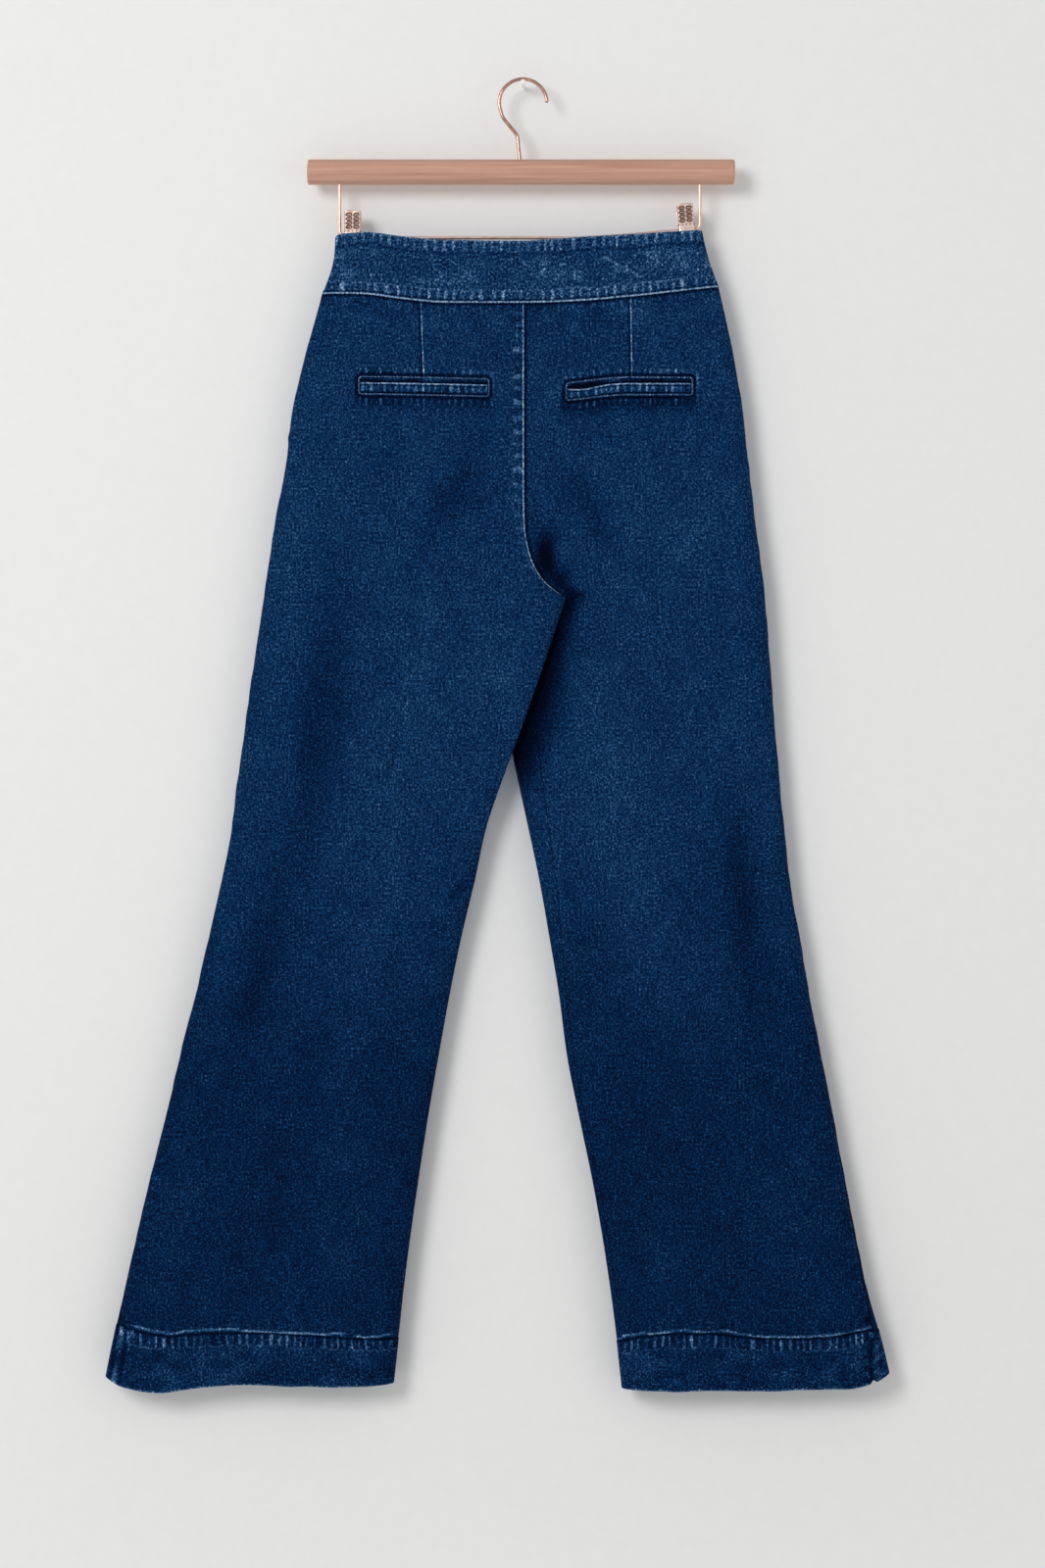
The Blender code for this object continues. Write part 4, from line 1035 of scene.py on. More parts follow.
def waistband(name, face, material):
    across_step, down_step = BAND_STEPS[face]
    places = edge_columns(BAND[0][0], BAND[-1][0], BAND_END_REACH, BAND_END_REACH, across_step)[None, :]
    down = grid_rows(BAND_HEIGHT, down_step)
    points = band_grid(face, places, down)
    x = points[..., 0]
    from_top = down * BAND_HEIGHT + 0 * x
    from_seam = BAND_HEIGHT - from_top
    from_left, from_right = x - x[:, :1], x[:, -1:] - x
    fields = blank_fields(x.shape)

    wide, small = Noise(SEEDS["band_wide"] + face), Noise(SEEDS["band_small"] + face)
    low_edge = 12.4 + 1.1 * wide(x / 13.0 + 20)
    low_strip = plateau(from_seam, 2.6, low_edge - 1.0, 1.0)
    top_edge = 11.6 + 0.9 * wide(x / 12.0 + 80)
    top_strip = plateau(from_top, 1.6, top_edge - 1.4, 1.2)
    low = puckers(fields, SEEDS["band_low"] + face, x, from_seam, low_strip, 8.2, 0.9)
    top = puckers(fields, SEEDS["band_top"] + face, x, from_top, top_strip, 8.6, 0.75)
    rise = 0.28 * low_strip + 0.46 * low + 0.18 * top_strip + 0.36 * top
    rise = rise - 0.35 * bell((from_seam - low_edge - 1.3) / 1.3)
    rise = rise - 0.32 * bell((from_top - top_edge - 1.2) / 1.4)
    rise = rise + 0.35 * bell((from_seam - 1.1) / 1.1) - 0.38 * bell((from_seam - 3.1) / 0.8)
    body = eased((from_top - 13.0) / 6.0) * eased((from_seam - 13.0) / 6.0)
    rise = rise + 0.45 * wide(x / 36.0 + 40, from_top / 30.0) + 0.18 * small(x / 12.0 + 40, from_top / 9.0)
    slanting = small((x + 0.9 * from_top) / 6.5 + 60, (from_top - 0.5 * x) / 26.0 + 60)
    other_way = small((x - 1.4 * from_top) / 7.5 + 90, (from_top + 0.4 * x) / 30.0 + 30)
    rise = rise + body * (0.36 * np.clip(slanting, 0, 1) + 0.30 * np.clip(other_way, 0, 1))
    drags = np.minimum(np.abs(slanting - 0.35) / 0.16, np.abs(other_way - 0.4) / 0.16)
    patches = np.clip(wide(x / 24.0 + 70, from_top / 15.0 + 20) + 0.05, 0, 1)
    add_line(fields, "faint_mm", 0.05 + 0.8 * drags + 1.5 * patches + 3.0 * (1 - body))
    add_line(fields, "faint_mm", np.abs(from_seam - low_edge))
    fields["wear"] = 0.03 + 0.16 * bell((from_top - 0.9) / 1.2) + 0.10 * low_strip + 0.08 * top_strip
    fields["wear"] += 0.07 * body * wide(x / 19.0 + 11, from_top / 11.0 + 35)
    # Painted shade in the grooves beside the seam and below the top strip
    fields["deep"] = 1.2 * bell((from_seam - 3.2) / 0.8) + 0.5 * bell((from_top - top_edge - 1.2) / 1.1)
    fields["edge_mm"] = np.minimum(from_seam - 1.2, from_top + 0.45)
    points[..., 1] += face * rise * eased(from_left / 6.0) * eased(from_right / 6.0)
    points[..., 2] -= 3.6 * (1 - rolled(from_left / 5.5)) * (1 - down) ** 4
    thickness = BAND_WALL - 0.8 * (bell(from_left / 3.0) + bell(from_right / 3.0)) * (face == FRONT)
    return cloth_wall(name, points, (0, face, 0), thickness, fields, material)


def hem_grid(side, face):
    """The hem band's outer surface, and its rows as shares of the way down."""
    start, end = (float(edge(side, np.array(HEM_LEVEL))) for edge in (outer_edge, inner_fold))
    across_step, down_step = HEM_STEPS[face]
    places = edge_columns(start, end, HEM_END_REACH, FOLD_ROUND, across_step)
    share = np.clip((places - start) / (end - start), 0.0, 1.0)[None, :]
    down = grid_rows(HEM_HEIGHT, down_step)
    label = SIDE_NAMES[side]
    lower = hem[label + "_edge"](share) + 0.7 * Noise(SEEDS["hem_edge"] + side + face)(share * 14.0)
    if side == RIGHT:
        lower = lower + 3.2 * bell((share * (end - start) * side - 17.5) / 1.8)
    z = mix(hem[label + "_seam"](share) - SEAM_GAP / 4, lower, down)
    inside = mix(outer_edge(side, z), inner_fold(side, z), share)
    x = inside + HEM_PROUD * side * (2 * share - 1)
    y = cloth_y(side, face, inside, z) + face * HEM_PROUD
    y[:, [0, -1]] = (depths["side_y"](z) + face * SEAM_GAP / 2)[:, [0, -1]]
    return np.stack([x, y, z], axis=2), down


def hem_band(name, side, face, material):
    points, down = hem_grid(side, face)
    x, z = points[..., 0], points[..., 2]
    from_seam = down * HEM_HEIGHT + 0 * x
    from_edge = HEM_HEIGHT - from_seam
    from_side = (x - x[:, :1]) * side
    fields = blank_fields(x.shape)
    wobble = Noise(SEEDS["hem"] + side + face)
    low_edge = 11.6 + 0.9 * wobble(x / 12.0 + 33)
    strip = plateau(from_seam, 1.2, low_edge - 1.1, 0.9)
    ripple = puckers(fields, SEEDS["hem_strip"] + side + 3 * face, x, from_seam, strip, 7.0, 1.0)
    rise = 0.25 * strip + 0.45 * ripple - 0.45 * bell(from_seam / 1.2)
    rise = rise + 0.28 * bell((from_seam - low_edge) / 1.2) - 0.2 * bell((from_edge - 3.0) / 2.0)
    rise = rise + 0.55 * wobble(x / 27.0 + 60, z / 60.0 + 60) * eased(from_seam / 20.0)
    rise = rise + 0.16 * Noise(SEEDS["hem_small"] + side)(x / 10.0 + 60, z / 10.0 + 200)
    add_line(fields, "faint_mm", np.abs(from_seam - low_edge))
    cloudy = np.clip(wobble(x / 13.0 + 90, z / 8.0 + 300), -0.5, 1.0)
    fields["wear"] = 0.05 * strip + 0.30 * bell((from_edge - 0.5) / 0.8) + 0.09 * cloudy
    # Darker all over, and painted shade in the ditch along the seam
    fields["deep"] = 0.30 + 0.8 * bell((from_seam - 0.7) / 0.9)
    if face == BACK:
        rise = felled_corner(side, x, z, rise, from_seam, from_side, wobble, fields)
    rise = rise * eased(from_side / 4.0 + 0.05) * eased((x[:, -1:] - x) * side / 4.0 + 0.05)
    points[..., 1] += face * rise
    return cloth_wall(name, points, (0, face, 0), HEM_WALL, fields, material)


def felled_corner(side, x, z, rise, from_seam, from_side, wobble, fields):
    """The hem's height with the felled outseam running through its outer corner, and painted shade in its
    hollows.
    """
    line = outseam[SIDE_NAMES[side]](z)
    off_line = from_side - line
    felled = plateau(off_line, 2.2, 13.0 if side == LEFT else 5.5, 1.6)
    rise = rise * (1 - 0.6 * felled) + 0.35 * felled - 1.0 * bell(off_line / 1.3)
    if side == LEFT:
        lumps = 0.5 + 0.5 * wobble(z / 8.0 + 70, 3.0)
        for away, broad, reach in ((3.4, 2.6, 60.0), (12.8, 1.8, 22.0)):
            rib = bell((off_line - away + 0.8 * wobble(z / 10.0 + away)) / broad) * lumps
            rib = rib * eased((reach - from_seam) / 8.0)
            rise = rise + 0.9 * rib
            fields["wear"] += 0.55 * rib
        # Painted shade in the hollow between the ribs
        fields["deep"] += 0.9 * bell((off_line - 8.6) / 1.3)
    else:
        ripple = puckers(fields, SEEDS["felled_corner"], z + 0.5 * x, from_side, felled, 9.5, 0.7)
        beyond = plateau(from_side, 2.0, line - 2.5, 1.5)
        rise = rise + 0.45 * ripple + 0.35 * beyond
        ripple = puckers(fields, SEEDS["beyond_corner"], z - 0.9 * x, from_side, beyond, 10.5, 0.45)
        rise = rise + 0.5 * ripple
        fields["wear"] += 0.2 * beyond * np.clip(wobble(x / 5.0 + 10, z / 8.0 + 300) + 0.1, 0, 1)
    add_line(fields, "faint_mm", np.abs(off_line - 1.6))
    # Painted shade in the seam's groove
    fields["deep"] += 1.0 * bell(off_line / 1.3)
    return rise


# Pocket strips: height, thickness, how far they stand off the panel, their noise, and the ripples' strength;
# the right pocket gapes a little near its inner end
STRIPS = {
    "lip": (LIP_HEIGHT, 1.1, 0.75, SEEDS["pocket_lip"], 0.2),
    "welt": (WELT_HEIGHT, 1.5, 1.25, SEEDS["pocket_welt"], 0.95),
}
RIGHT_GAPE = 2.0


def pocket_strip(name, kind, label, material):
    """The lip, or the welt below the mouth, laid on the back panel."""
    side = LEFT if label == "left" else RIGHT
    height, thick, proud, seed, strength = STRIPS[kind]
    outer_x, inner_x = POCKETS[label][:2]
    places = crowded_ends(abs(inner_x - outer_x), 1.0, (0.12, 0.3, 0.55, 0.85))
    share = (places / places[-1])[None, :]
    down = grid_rows(height, 0.7, (0.12, 0.3, 0.55))
    upper = pocket_upper(label, share)
    gape = RIGHT_GAPE * bell((share - 0.86) / 0.12) if label == "right" else 0.0
    if kind == "welt":
        z = mix(upper - LIP_HEIGHT - MOUTH_GAP - gape, upper - POCKET_HEIGHT - 0.35 * gape, down)
    else:
        z = mix(upper, upper - LIP_HEIGHT + 0.35 * gape, down)
    x = mix(outer_x, inner_x, share) + 0 * z
    middle = np.sin(math.pi * down) + 0 * x
    fields = blank_fields(x.shape)
    ripple = puckers(fields, seed + side, x, down * height, middle**0.5, 6.3, strength)
    rise = proud + 0.28 * middle + 0.28 * ripple
    points = np.stack([x, cloth_y(side, BACK, x, z) - rise, z], axis=2)
    patch = Noise(seed + side + 4)(x / 8.0 + 50.0, down * 1.3)
    fields["wear"] = (0.06 + 0.12 * patch) * middle
    if kind == "welt":
        from_mouth = down * height + 0 * x
        fields["edge_mm"] = from_mouth - 0.6
        # The welt is darker in a line below its edge at the mouth, with painted shade along its lower edge
        fields["deep"] = 0.8 * bell((from_mouth - 2.2) / 0.8) + 1.3 * bell((height - from_mouth) / 1.1)
    else:
        from_mouth = (1 - down) * height + 0 * x
        cloudy = Noise(seed + side + 9)(x / 17.0 + 50.0)
        # The lip is darker all over, unevenly, with painted shade along the mouth
        fields["deep"] = 0.55 + 1.2 * bell(from_mouth / 1.6) + 0.6 * cloudy
    return cloth_wall(name, points, (0, BACK, 0), thick, fields, material)


def layer_point(side, face, x, z, lift):
    """Points that stand a little off the cloth of a layer."""
    y = cloth_y(side, face, x, z) + face * lift
    return np.stack(np.broadcast_arrays(x, y, z), axis=-1)


def joined_mesh(name, groups):
    """One mesh from many (points, faces) groups, in mm."""
    places, faces, count = [], [], 0
    for points, group_faces in groups:
        places.append(points)
        faces += [[count + number for number in face] for face in group_faces]
        count += len(points)
    mesh = bpy.data.meshes.new(name)
    mesh.from_pydata((np.concatenate(places) * MM).tolist(), [], faces)
    mesh.shade_smooth()
    return mesh


def tube_group(path, radii, sides):
    """A tube of rings round a path, with its ends closed to a point."""
    path = np.asarray(path, float)
    radii = np.broadcast_to(np.asarray(radii, float), (len(path),))
    along = np.gradient(path, axis=0)
    along /= np.linalg.norm(along, axis=1, keepdims=True)
    up = np.array((0.0, 1.0, 0.0)) if abs(along[0, 1]) < 0.9 else np.array((0.0, 0.0, 1.0))
    turns = np.arange(sides) * 2 * math.pi / sides
    rings = []
    for point, way, radius in zip(path, along, radii):
        up = up - way * (up @ way)
        up /= np.linalg.norm(up)
        across = np.cross(way, up)
        rings.append(point + radius * (np.outer(np.cos(turns), across) + np.outer(np.sin(turns), up)))
    points = np.concatenate([*rings, path[:1], path[-1:]])
    faces = []
    for ring in range(len(path) - 1):
        for side in range(sides):
            a, b = ring * sides + side, ring * sides + (side + 1) % sides
            faces.append((a, b, b + sides, a + sides))
    first, last, base = len(points) - 2, len(points) - 1, (len(path) - 1) * sides
    for side in range(sides):
        faces.append((first, (side + 1) % sides, side))
        faces.append((last, base + side, base + (side + 1) % sides))
    return points, faces


def resampled(path, pitch):
    """Places a pitch apart along a path, and the path's way there."""
    path = np.asarray(path, float)
    steps = np.linalg.norm(np.diff(path, axis=0), axis=1)
    arc_length = np.concatenate([[0.0], np.cumsum(steps)])
    count = max(2, int(arc_length[-1] / pitch))
    places = (np.arange(count) + 0.5) * arc_length[-1] / count

    def at(place):
        return np.stack([np.interp(place, arc_length, path[:, axis]) for axis in range(3)], axis=1)

    way = at(places + 0.4) - at(places - 0.4)
    return at(places), way / np.maximum(np.linalg.norm(way, axis=1, keepdims=True), 1e-9)


# One stitch: its length and pitch, and along it the places, radii and how deep the thread is sunk
STITCH_LENGTH = 2.1
STITCH_PITCH = 2.8
STITCH_PLACES = np.array([-0.5, -0.3, 0.0, 0.3, 0.5])
STITCH_RADII = 0.27 * np.array([0.55, 0.95, 1.0, 0.95, 0.55])
STITCH_SINK = np.array([0.22, 0.03, 0.0, 0.03, 0.22])


def stitch_row(name, path, material):
    """A row of sewn stitches: short threads, each with its ends sunk into the cloth."""
    noise = Noise(len(name) + 7 * len(path) % 90)
    groups = []
    for index, (place, way) in enumerate(zip(*resampled(path, STITCH_PITCH))):
        length = STITCH_LENGTH * (1 + 0.12 * float(noise(index * 0.7)))
        points = place + np.outer(STITCH_PLACES * length, way)
        points[:, 1] += STITCH_SINK * np.sign(-place[1] or 1.0)
        groups.append(tube_group(points, STITCH_RADII, 6))
    return new_piece(name, joined_mesh(name, groups), material)


# A wire's end is rounded over these turns, and half as long as it is wide
END_TURNS = (0.12, 0.45, 0.8, 1.2)
END_LENGTH = 0.5


def wire(name, path, radius, material, sides=20):
    """A drawn wire with rounded ends."""
    path = np.asarray(path, float)
    ends = []
    for end, beside in ((path[0], path[1]), (path[-1], path[-2])):
        out = (end - beside) / np.linalg.norm(end - beside)
        ends.append([end + out * radius * math.cos(turn) * END_LENGTH for turn in END_TURNS])
    end_radii = [radius * math.sin(turn) for turn in END_TURNS]
    radii = np.array([*end_radii, *[radius] * len(path), *end_radii[::-1]])
    group = tube_group(np.concatenate([ends[0], path, ends[1][::-1]]), radii, sides)
    return new_piece(name, joined_mesh(name, [group]), material)


def smooth_path(points, step):
    """A rounded path through the points, by Catmull-Rom arcs."""
    points = np.asarray(points, float)
    padded = np.concatenate([2 * points[:1] - points[1:2], points, 2 * points[-1:] - points[-2:-1]])
    path = []
    for i in range(len(points) - 1):
        p0, p1, p2, p3 = padded[i : i + 4]
        count = max(2, int(round(np.linalg.norm(p2 - p1) / step)))
        for share in np.arange(count) / count:
            a = -p0 + 3 * p1 - 3 * p2 + p3
            b = 2 * p0 - 5 * p1 + 4 * p2 - p3
            path.append(0.5 * (2 * p1 + (p2 - p0) * share + b * share**2 + a * share**3))
    return np.array([*path, points[-1]])


# Hanger, as in the frame
BAR_LENGTH = 400.0
BAR_RADIUS = 11.8
BAR_X = -1.4
BAR_Z = -85.5
BAR_EDGE = 2.4
BAR_SIDES = 64
WIRE_RADIUS = 1.5
HOOK_RADIUS = 1.7
HOOK_BEND = 22.3
HOOK_CENTRE = (0.5, -20.6)
HOOK_TURNS = (2, 196)
HOOK_SHANK_X = -2.7
HOOK_NECK = ((-18.6, -33.6), (-14.2, -39.6), (-8.6, -46.4), (-5.2, -51.0), (-4.3, -55.5), (-3.6, -64.0))
FRAME_CORNER = 7.3
FRAME_LEFT = -171.1
FRAME_RIGHT = 166.1
FRAME_COLUMNS = ("x", "z")
FRAME_SPAN = (
    (-163.8, -146.5),
    (-60.0, -147.2),
    (40.0, -147.2),
    (94.0, -144.6),
    (144.0, -140.6),
    (158.8, -140.0),
)

# Clips: where the wire passes, and the lean in degrees
CLIPS = {"left": (-158.8, -146.6, 0.0), "right": (153.6, -140.2, 5.0)}
CLIP_WIDTH = 15.6
CLIP_JAW_WIDTH = 13.0
CLIP_PLATE = 0.8

# The plates' profiles from the levers down to the jaws: how far out from the wire, and how far up
LEVER = ((6.6, 24.5), (5.2, 12.0), (4.3, 4.0), (4.3, -2.0))
FRONT_PLATE = LEVER + ((3.4, -5.2), (1.75, -6.6), (1.75, -12.0))
REAR_PLATE = LEVER + ((3.6, -5.2), (2.15, -6.6), (2.15, -12.0))

# Springs: the radius and length over the wire, the wire's own radius, and the number of coils
SPRING_RADIUS = 3.3
SPRING_LENGTH = 11.0
SPRING_WIRE = 0.6
SPRING_COILS = 7

# Embossed slots of a clip's lever, from its middle: up from the wire, across, and half their size
SLOT_ROWS = (20.5, 16.6, 12.8, 9.0)
SLOT_COLUMNS = (-3.4, 3.4)
SLOT_HALF = (2.5, 1.25)


def arc(centre, radius, start, end, steps):
    turns = np.radians(np.linspace(start, end, steps + 1))
    x, z = centre[0] + radius * np.cos(turns), centre[1] + radius * np.sin(turns)
    return np.stack([x, 0 * turns, z], axis=1)


def hook_path():
    bend = arc(HOOK_CENTRE, HOOK_BEND, *HOOK_TURNS, 64)
    low = [(HOOK_SHANK_X, 0.0, BAR_Z + BAR_RADIUS + 1.0), (HOOK_SHANK_X, 0.0, BAR_Z + 2.2)]
    neck = smooth_path([bend[-1], *[(x, 0.0, z) for x, z in HOOK_NECK], *low], 1.5)
    return np.concatenate([bend, neck[1:]])


def frame_path():
    height = smooth_curve(FRAME_SPAN, FRAME_COLUMNS, "z")
    left_x, right_x = FRAME_SPAN[0][0], FRAME_SPAN[-1][0]
    left = arc((left_x, float(height(left_x)) + FRAME_CORNER), FRAME_CORNER, 180, 270, 12)
    right = arc((right_x, float(height(right_x)) + FRAME_CORNER), FRAME_CORNER, 270, 360, 12)
    span = np.linspace(left_x, right_x, 90)[1:-1]
    span = np.stack([span, 0 * span, height(span)], axis=1)
    top = BAR_Z - 2.0
    down = [(FRAME_LEFT, 0.0, z) for z in np.linspace(top, left[0, 2], 10)[:-1]]
    up = [(FRAME_RIGHT, 0.0, z) for z in np.linspace(right[-1, 2], top, 10)[1:]]
    return np.concatenate([down, left, span, right, up])


def hanger_bar(material):
    """The round bar with softened ends, its surface a little uneven as sanded wood is."""
    ends = [(0.0, 0.15), (0.0, 4.0), (0.0, BAR_RADIUS - BAR_EDGE - 0.6)]
    for turn in np.linspace(0.0, math.pi / 2, 8):
        ends.append((BAR_EDGE * (1 - math.cos(turn)), BAR_RADIUS - BAR_EDGE * (1 - math.sin(turn))))
    middle = [(place, BAR_RADIUS) for place in np.linspace(BAR_EDGE + 3, BAR_LENGTH - BAR_EDGE - 3, 70)]
    outline = ends + middle + [(BAR_LENGTH - place, radius) for place, radius in reversed(ends)]
    place, radius = np.array(outline).T
    turns = np.arange(BAR_SIDES) * 2 * math.pi / BAR_SIDES
    uneven = Noise(SEEDS["wood"])(place[:, None] / 60.0 + 9, np.abs(turns[None, :] - math.pi) * 1.5)
    radius = radius[:, None] * (1 + 0.004 * uneven)
    x = BAR_X - BAR_LENGTH / 2 + place[:, None] + 0 * turns
    points = np.stack([x, radius * np.sin(turns), BAR_Z + radius * np.cos(turns)], axis=2).reshape(-1, 3)
    faces = []
    for ring in range(len(place) - 1):
        for side in range(BAR_SIDES):
            a, b = ring * BAR_SIDES + side, ring * BAR_SIDES + (side + 1) % BAR_SIDES
            faces.append((a, a + BAR_SIDES, b + BAR_SIDES, b))
    last = (len(place) - 1) * BAR_SIDES
    faces.append(tuple(range(BAR_SIDES)))
    faces.append(tuple(last + side for side in reversed(range(BAR_SIDES))))
    return new_piece("bar_turned", joined_mesh("bar_turned", [(points, faces)]), material)


def leaned(label, across, high):
    """x and z of places given across and up from a clip's wire, with the clip's lean."""
    clip_x, clip_z, lean = CLIPS[label]
    turn = math.radians(lean)
    x = clip_x + across * math.cos(turn) - high * math.sin(turn)
    return x, clip_z + high * math.cos(turn) + across * math.sin(turn)


def slots_relief(dx, up):
    """How a lever's embossed slots lift its plate, and the painted shade in and round them."""
    rise, dark = np.zeros(dx.shape), np.zeros(dx.shape)
    half_width, half_height = SLOT_HALF
    for row in SLOT_ROWS:
        for column in SLOT_COLUMNS:
            beside = np.maximum(np.abs(dx - column) - half_width + half_height, 0.0)
            off = np.hypot(beside, np.abs(up - row)) - half_height
            dark = np.maximum(dark, 1.2 * bell(off / 0.6) + 0.35 * eased(-off / 0.4))
            rise += 0.22 * bell(off / 0.35) - 0.42 * eased(-off / 0.5 + 0.3)
    return rise, dark


def clip_plate(name, label, way, profile, material):
    """A pressed plate with rounded corners, embossed slots, turned-in flanges and a toothed jaw."""
    line = smooth_path([(0.0, away, up) for away, up in profile], 0.45)
    slope = np.gradient(line, axis=0)
    run = np.hypot(slope[:, 1], slope[:, 2])
    normal = np.stack([-slope[:, 2] / run, slope[:, 1] / run], axis=1)
    normal *= np.sign(normal[len(normal) // 3, 0])
    away, up = line[:, 1, None], line[:, 2, None]
    width = mix(CLIP_JAW_WIDTH, CLIP_WIDTH, eased((up + 4.5) / 3.0))
    width = width - 2.6 * (1 - rolled((24.6 - up) / 2.2))
    rim = np.array([0.92, 0.96, 0.985, 1])
    across = np.concatenate([-rim[::-1], np.linspace(-0.86, 0.86, 31), rim])[None, :]
    dx = across * width / 2
    rise, dark = slots_relief(dx, up)
    rise += 0.30 * bell((up - 2.8) / 0.7) + 0.10 * Noise(SEEDS["plate"])(dx / 3.0 + 30, up / 3.0 + 30)
    # Painted shade at the jaw's notches and along the turned-in edges
    dark += 0.9 * bell((up - 5.2) / 0.7) * (np.cos(dx * 2 * math.pi / 3.6) > 0.2)
    dark += 0.5 * eased((np.abs(across) - 0.9) / 0.1)
    flange = eased((np.abs(across) - 0.80) / 0.2) * eased((up + 3.0) / 3.0)
    teeth = eased((-9.5 - up) / 2.5) * 0.75 * (0.5 + 0.5 * np.cos(dx * 2 * math.pi / 3.2))
    out = away + normal[:, :1] * rise - 1.1 * flange
    x, z = leaned(label, dx, up + normal[:, 1:] * rise + teeth)
    points = np.stack([x, way * (out + CLIP_PLATE / 2), z], axis=2)
    return cloth_wall(name, points, (0, way, 0), CLIP_PLATE, {"deep": dark}, material)


def clip_spring(label, material):
    """The coiled spring on the wire between a clip's plates."""
    turns = np.linspace(0.0, 2 * math.pi * SPRING_COILS, SPRING_COILS * 20 + 1)
    radius = SPRING_RADIUS - SPRING_WIRE - 0.02
    reach = SPRING_LENGTH / 2 - SPRING_WIRE - 0.1
    x, z = leaned(label, mix(-reach, reach, turns / turns[-1]), radius * np.cos(turns))
    path = np.stack([x, radius * np.sin(turns), z], axis=1)
    return wire("spring_" + label, path, SPRING_WIRE, material, 10)


class Shader:
    """Builds a material's nodes by short calls. Sockets and plain numbers may be mixed."""

    def __init__(self, name, **uniform):
        self.material = bpy.data.materials.new(name)
        self.material.use_nodes = True
        self.nodes = self.material.node_tree.nodes
        self.links = self.material.node_tree.links
        self.surface = self.nodes["Principled BSDF"]
        self.look(**uniform)

    def look(self, **inputs):
        """Sets the surface's inputs, named with underscores for spaces."""
        for socket, value in inputs.items():
            self.put(self.surface.inputs[socket.replace("_", " ")], value)

    def put(self, socket, value):
        if isinstance(value, bpy.types.NodeSocket):
            self.links.new(value, socket)
        else:
            socket.default_value = value

    def node(self, kind, inputs=(), **settings):
        made = self.nodes.new("ShaderNode" + kind)
        for key, value in settings.items():
            setattr(made, key, value)
        for key, value in dict(inputs).items():
            self.put(made.inputs[key], value)
        return made

    def maths(self, operation, a, b=0.0, clamp=False):
        made = self.node("Math", {0: a, 1: b}, operation=operation, use_clamp=clamp)
        return made.outputs[0]

    def add(self, *values):
        total = values[0]
        for value in values[1:]:
            total = self.maths("ADD", total, value)
        return total

    def times(self, a, b):
        return self.maths("MULTIPLY", a, b)

    def step(self, value, start, end, low=0.0, high=1.0):
        inputs = {"Value": value, "From Min": start, "From Max": end, "To Min": low, "To Max": high}
        made = self.node("MapRange", inputs, interpolation_type="SMOOTHSTEP")
        return made.outputs[0]

    def line(self, name, full, gone):
        """1 on a line and 0 beside it, from the field of distances that has its name."""
        return self.step(self.maths("ABSOLUTE", self.number(name)), full, gone, 1.0, 0.0)

    def scaled(self, vector, scale):
        made = self.node("VectorMath", {0: vector, 1: scale}, operation="MULTIPLY")
        return made.outputs[0]

    def place(self, scale):
        """Places on the piece, in metres times a scale."""
        scale = scale if isinstance(scale, tuple) else (scale, scale, scale)
        return self.scaled(self.node("TexCoord").outputs["Object"], scale)

    def grain(self, vector, lengths, detail, roughness, distortion=0.0):
        """Noise spread round 0, about -0.5 to 0.5, drawn out to some lengths."""
        inputs = {"Vector": self.scaled(vector, tuple(1 / length for length in lengths)), "Scale": 1.0}
        inputs.update({"Detail": detail, "Roughness": roughness, "Distortion": distortion})
        return self.maths("SUBTRACT", self.node("TexNoise", inputs).outputs["Fac"], 0.5)

    def number(self, name):
        return self.node("Attribute", attribute_name=name).outputs["Fac"]

    def ramp(self, value, stops):
        made = self.node("ValToRGB", {"Fac": value})
        elements = made.color_ramp.elements
        while len(elements) < len(stops):
            elements.new(0.5)
        for element, (place, colour) in zip(elements, stops):
            element.position = place
            element.color = (*colour, 1.0)
        return made.outputs["Color"]

    def blend(self, share, a, b):
        made = self.node("Mix", data_type="RGBA")
        for socket, value in (("Factor", share), ("A", a), ("B", b)):
            self.put(made.inputs[socket], value)
        return made.outputs["Result"]

    def relief(self, height, distance, strength):
        made = self.node("Bump", {"Height": height, "Distance": distance, "Strength": strength})
        self.look(Normal=made.outputs["Normal"])


DENIM_RAMP = (
    (0.00, (0.0003, 0.0016, 0.0080)),
    (0.22, (0.0006, 0.0050, 0.0250)),
    (0.42, (0.0009, 0.0190, 0.0700)),
    (0.60, (0.0110, 0.0570, 0.1500)),
    (0.80, (0.0850, 0.1700, 0.2980)),
    (1.00, (0.3200, 0.4400, 0.5700)),
)


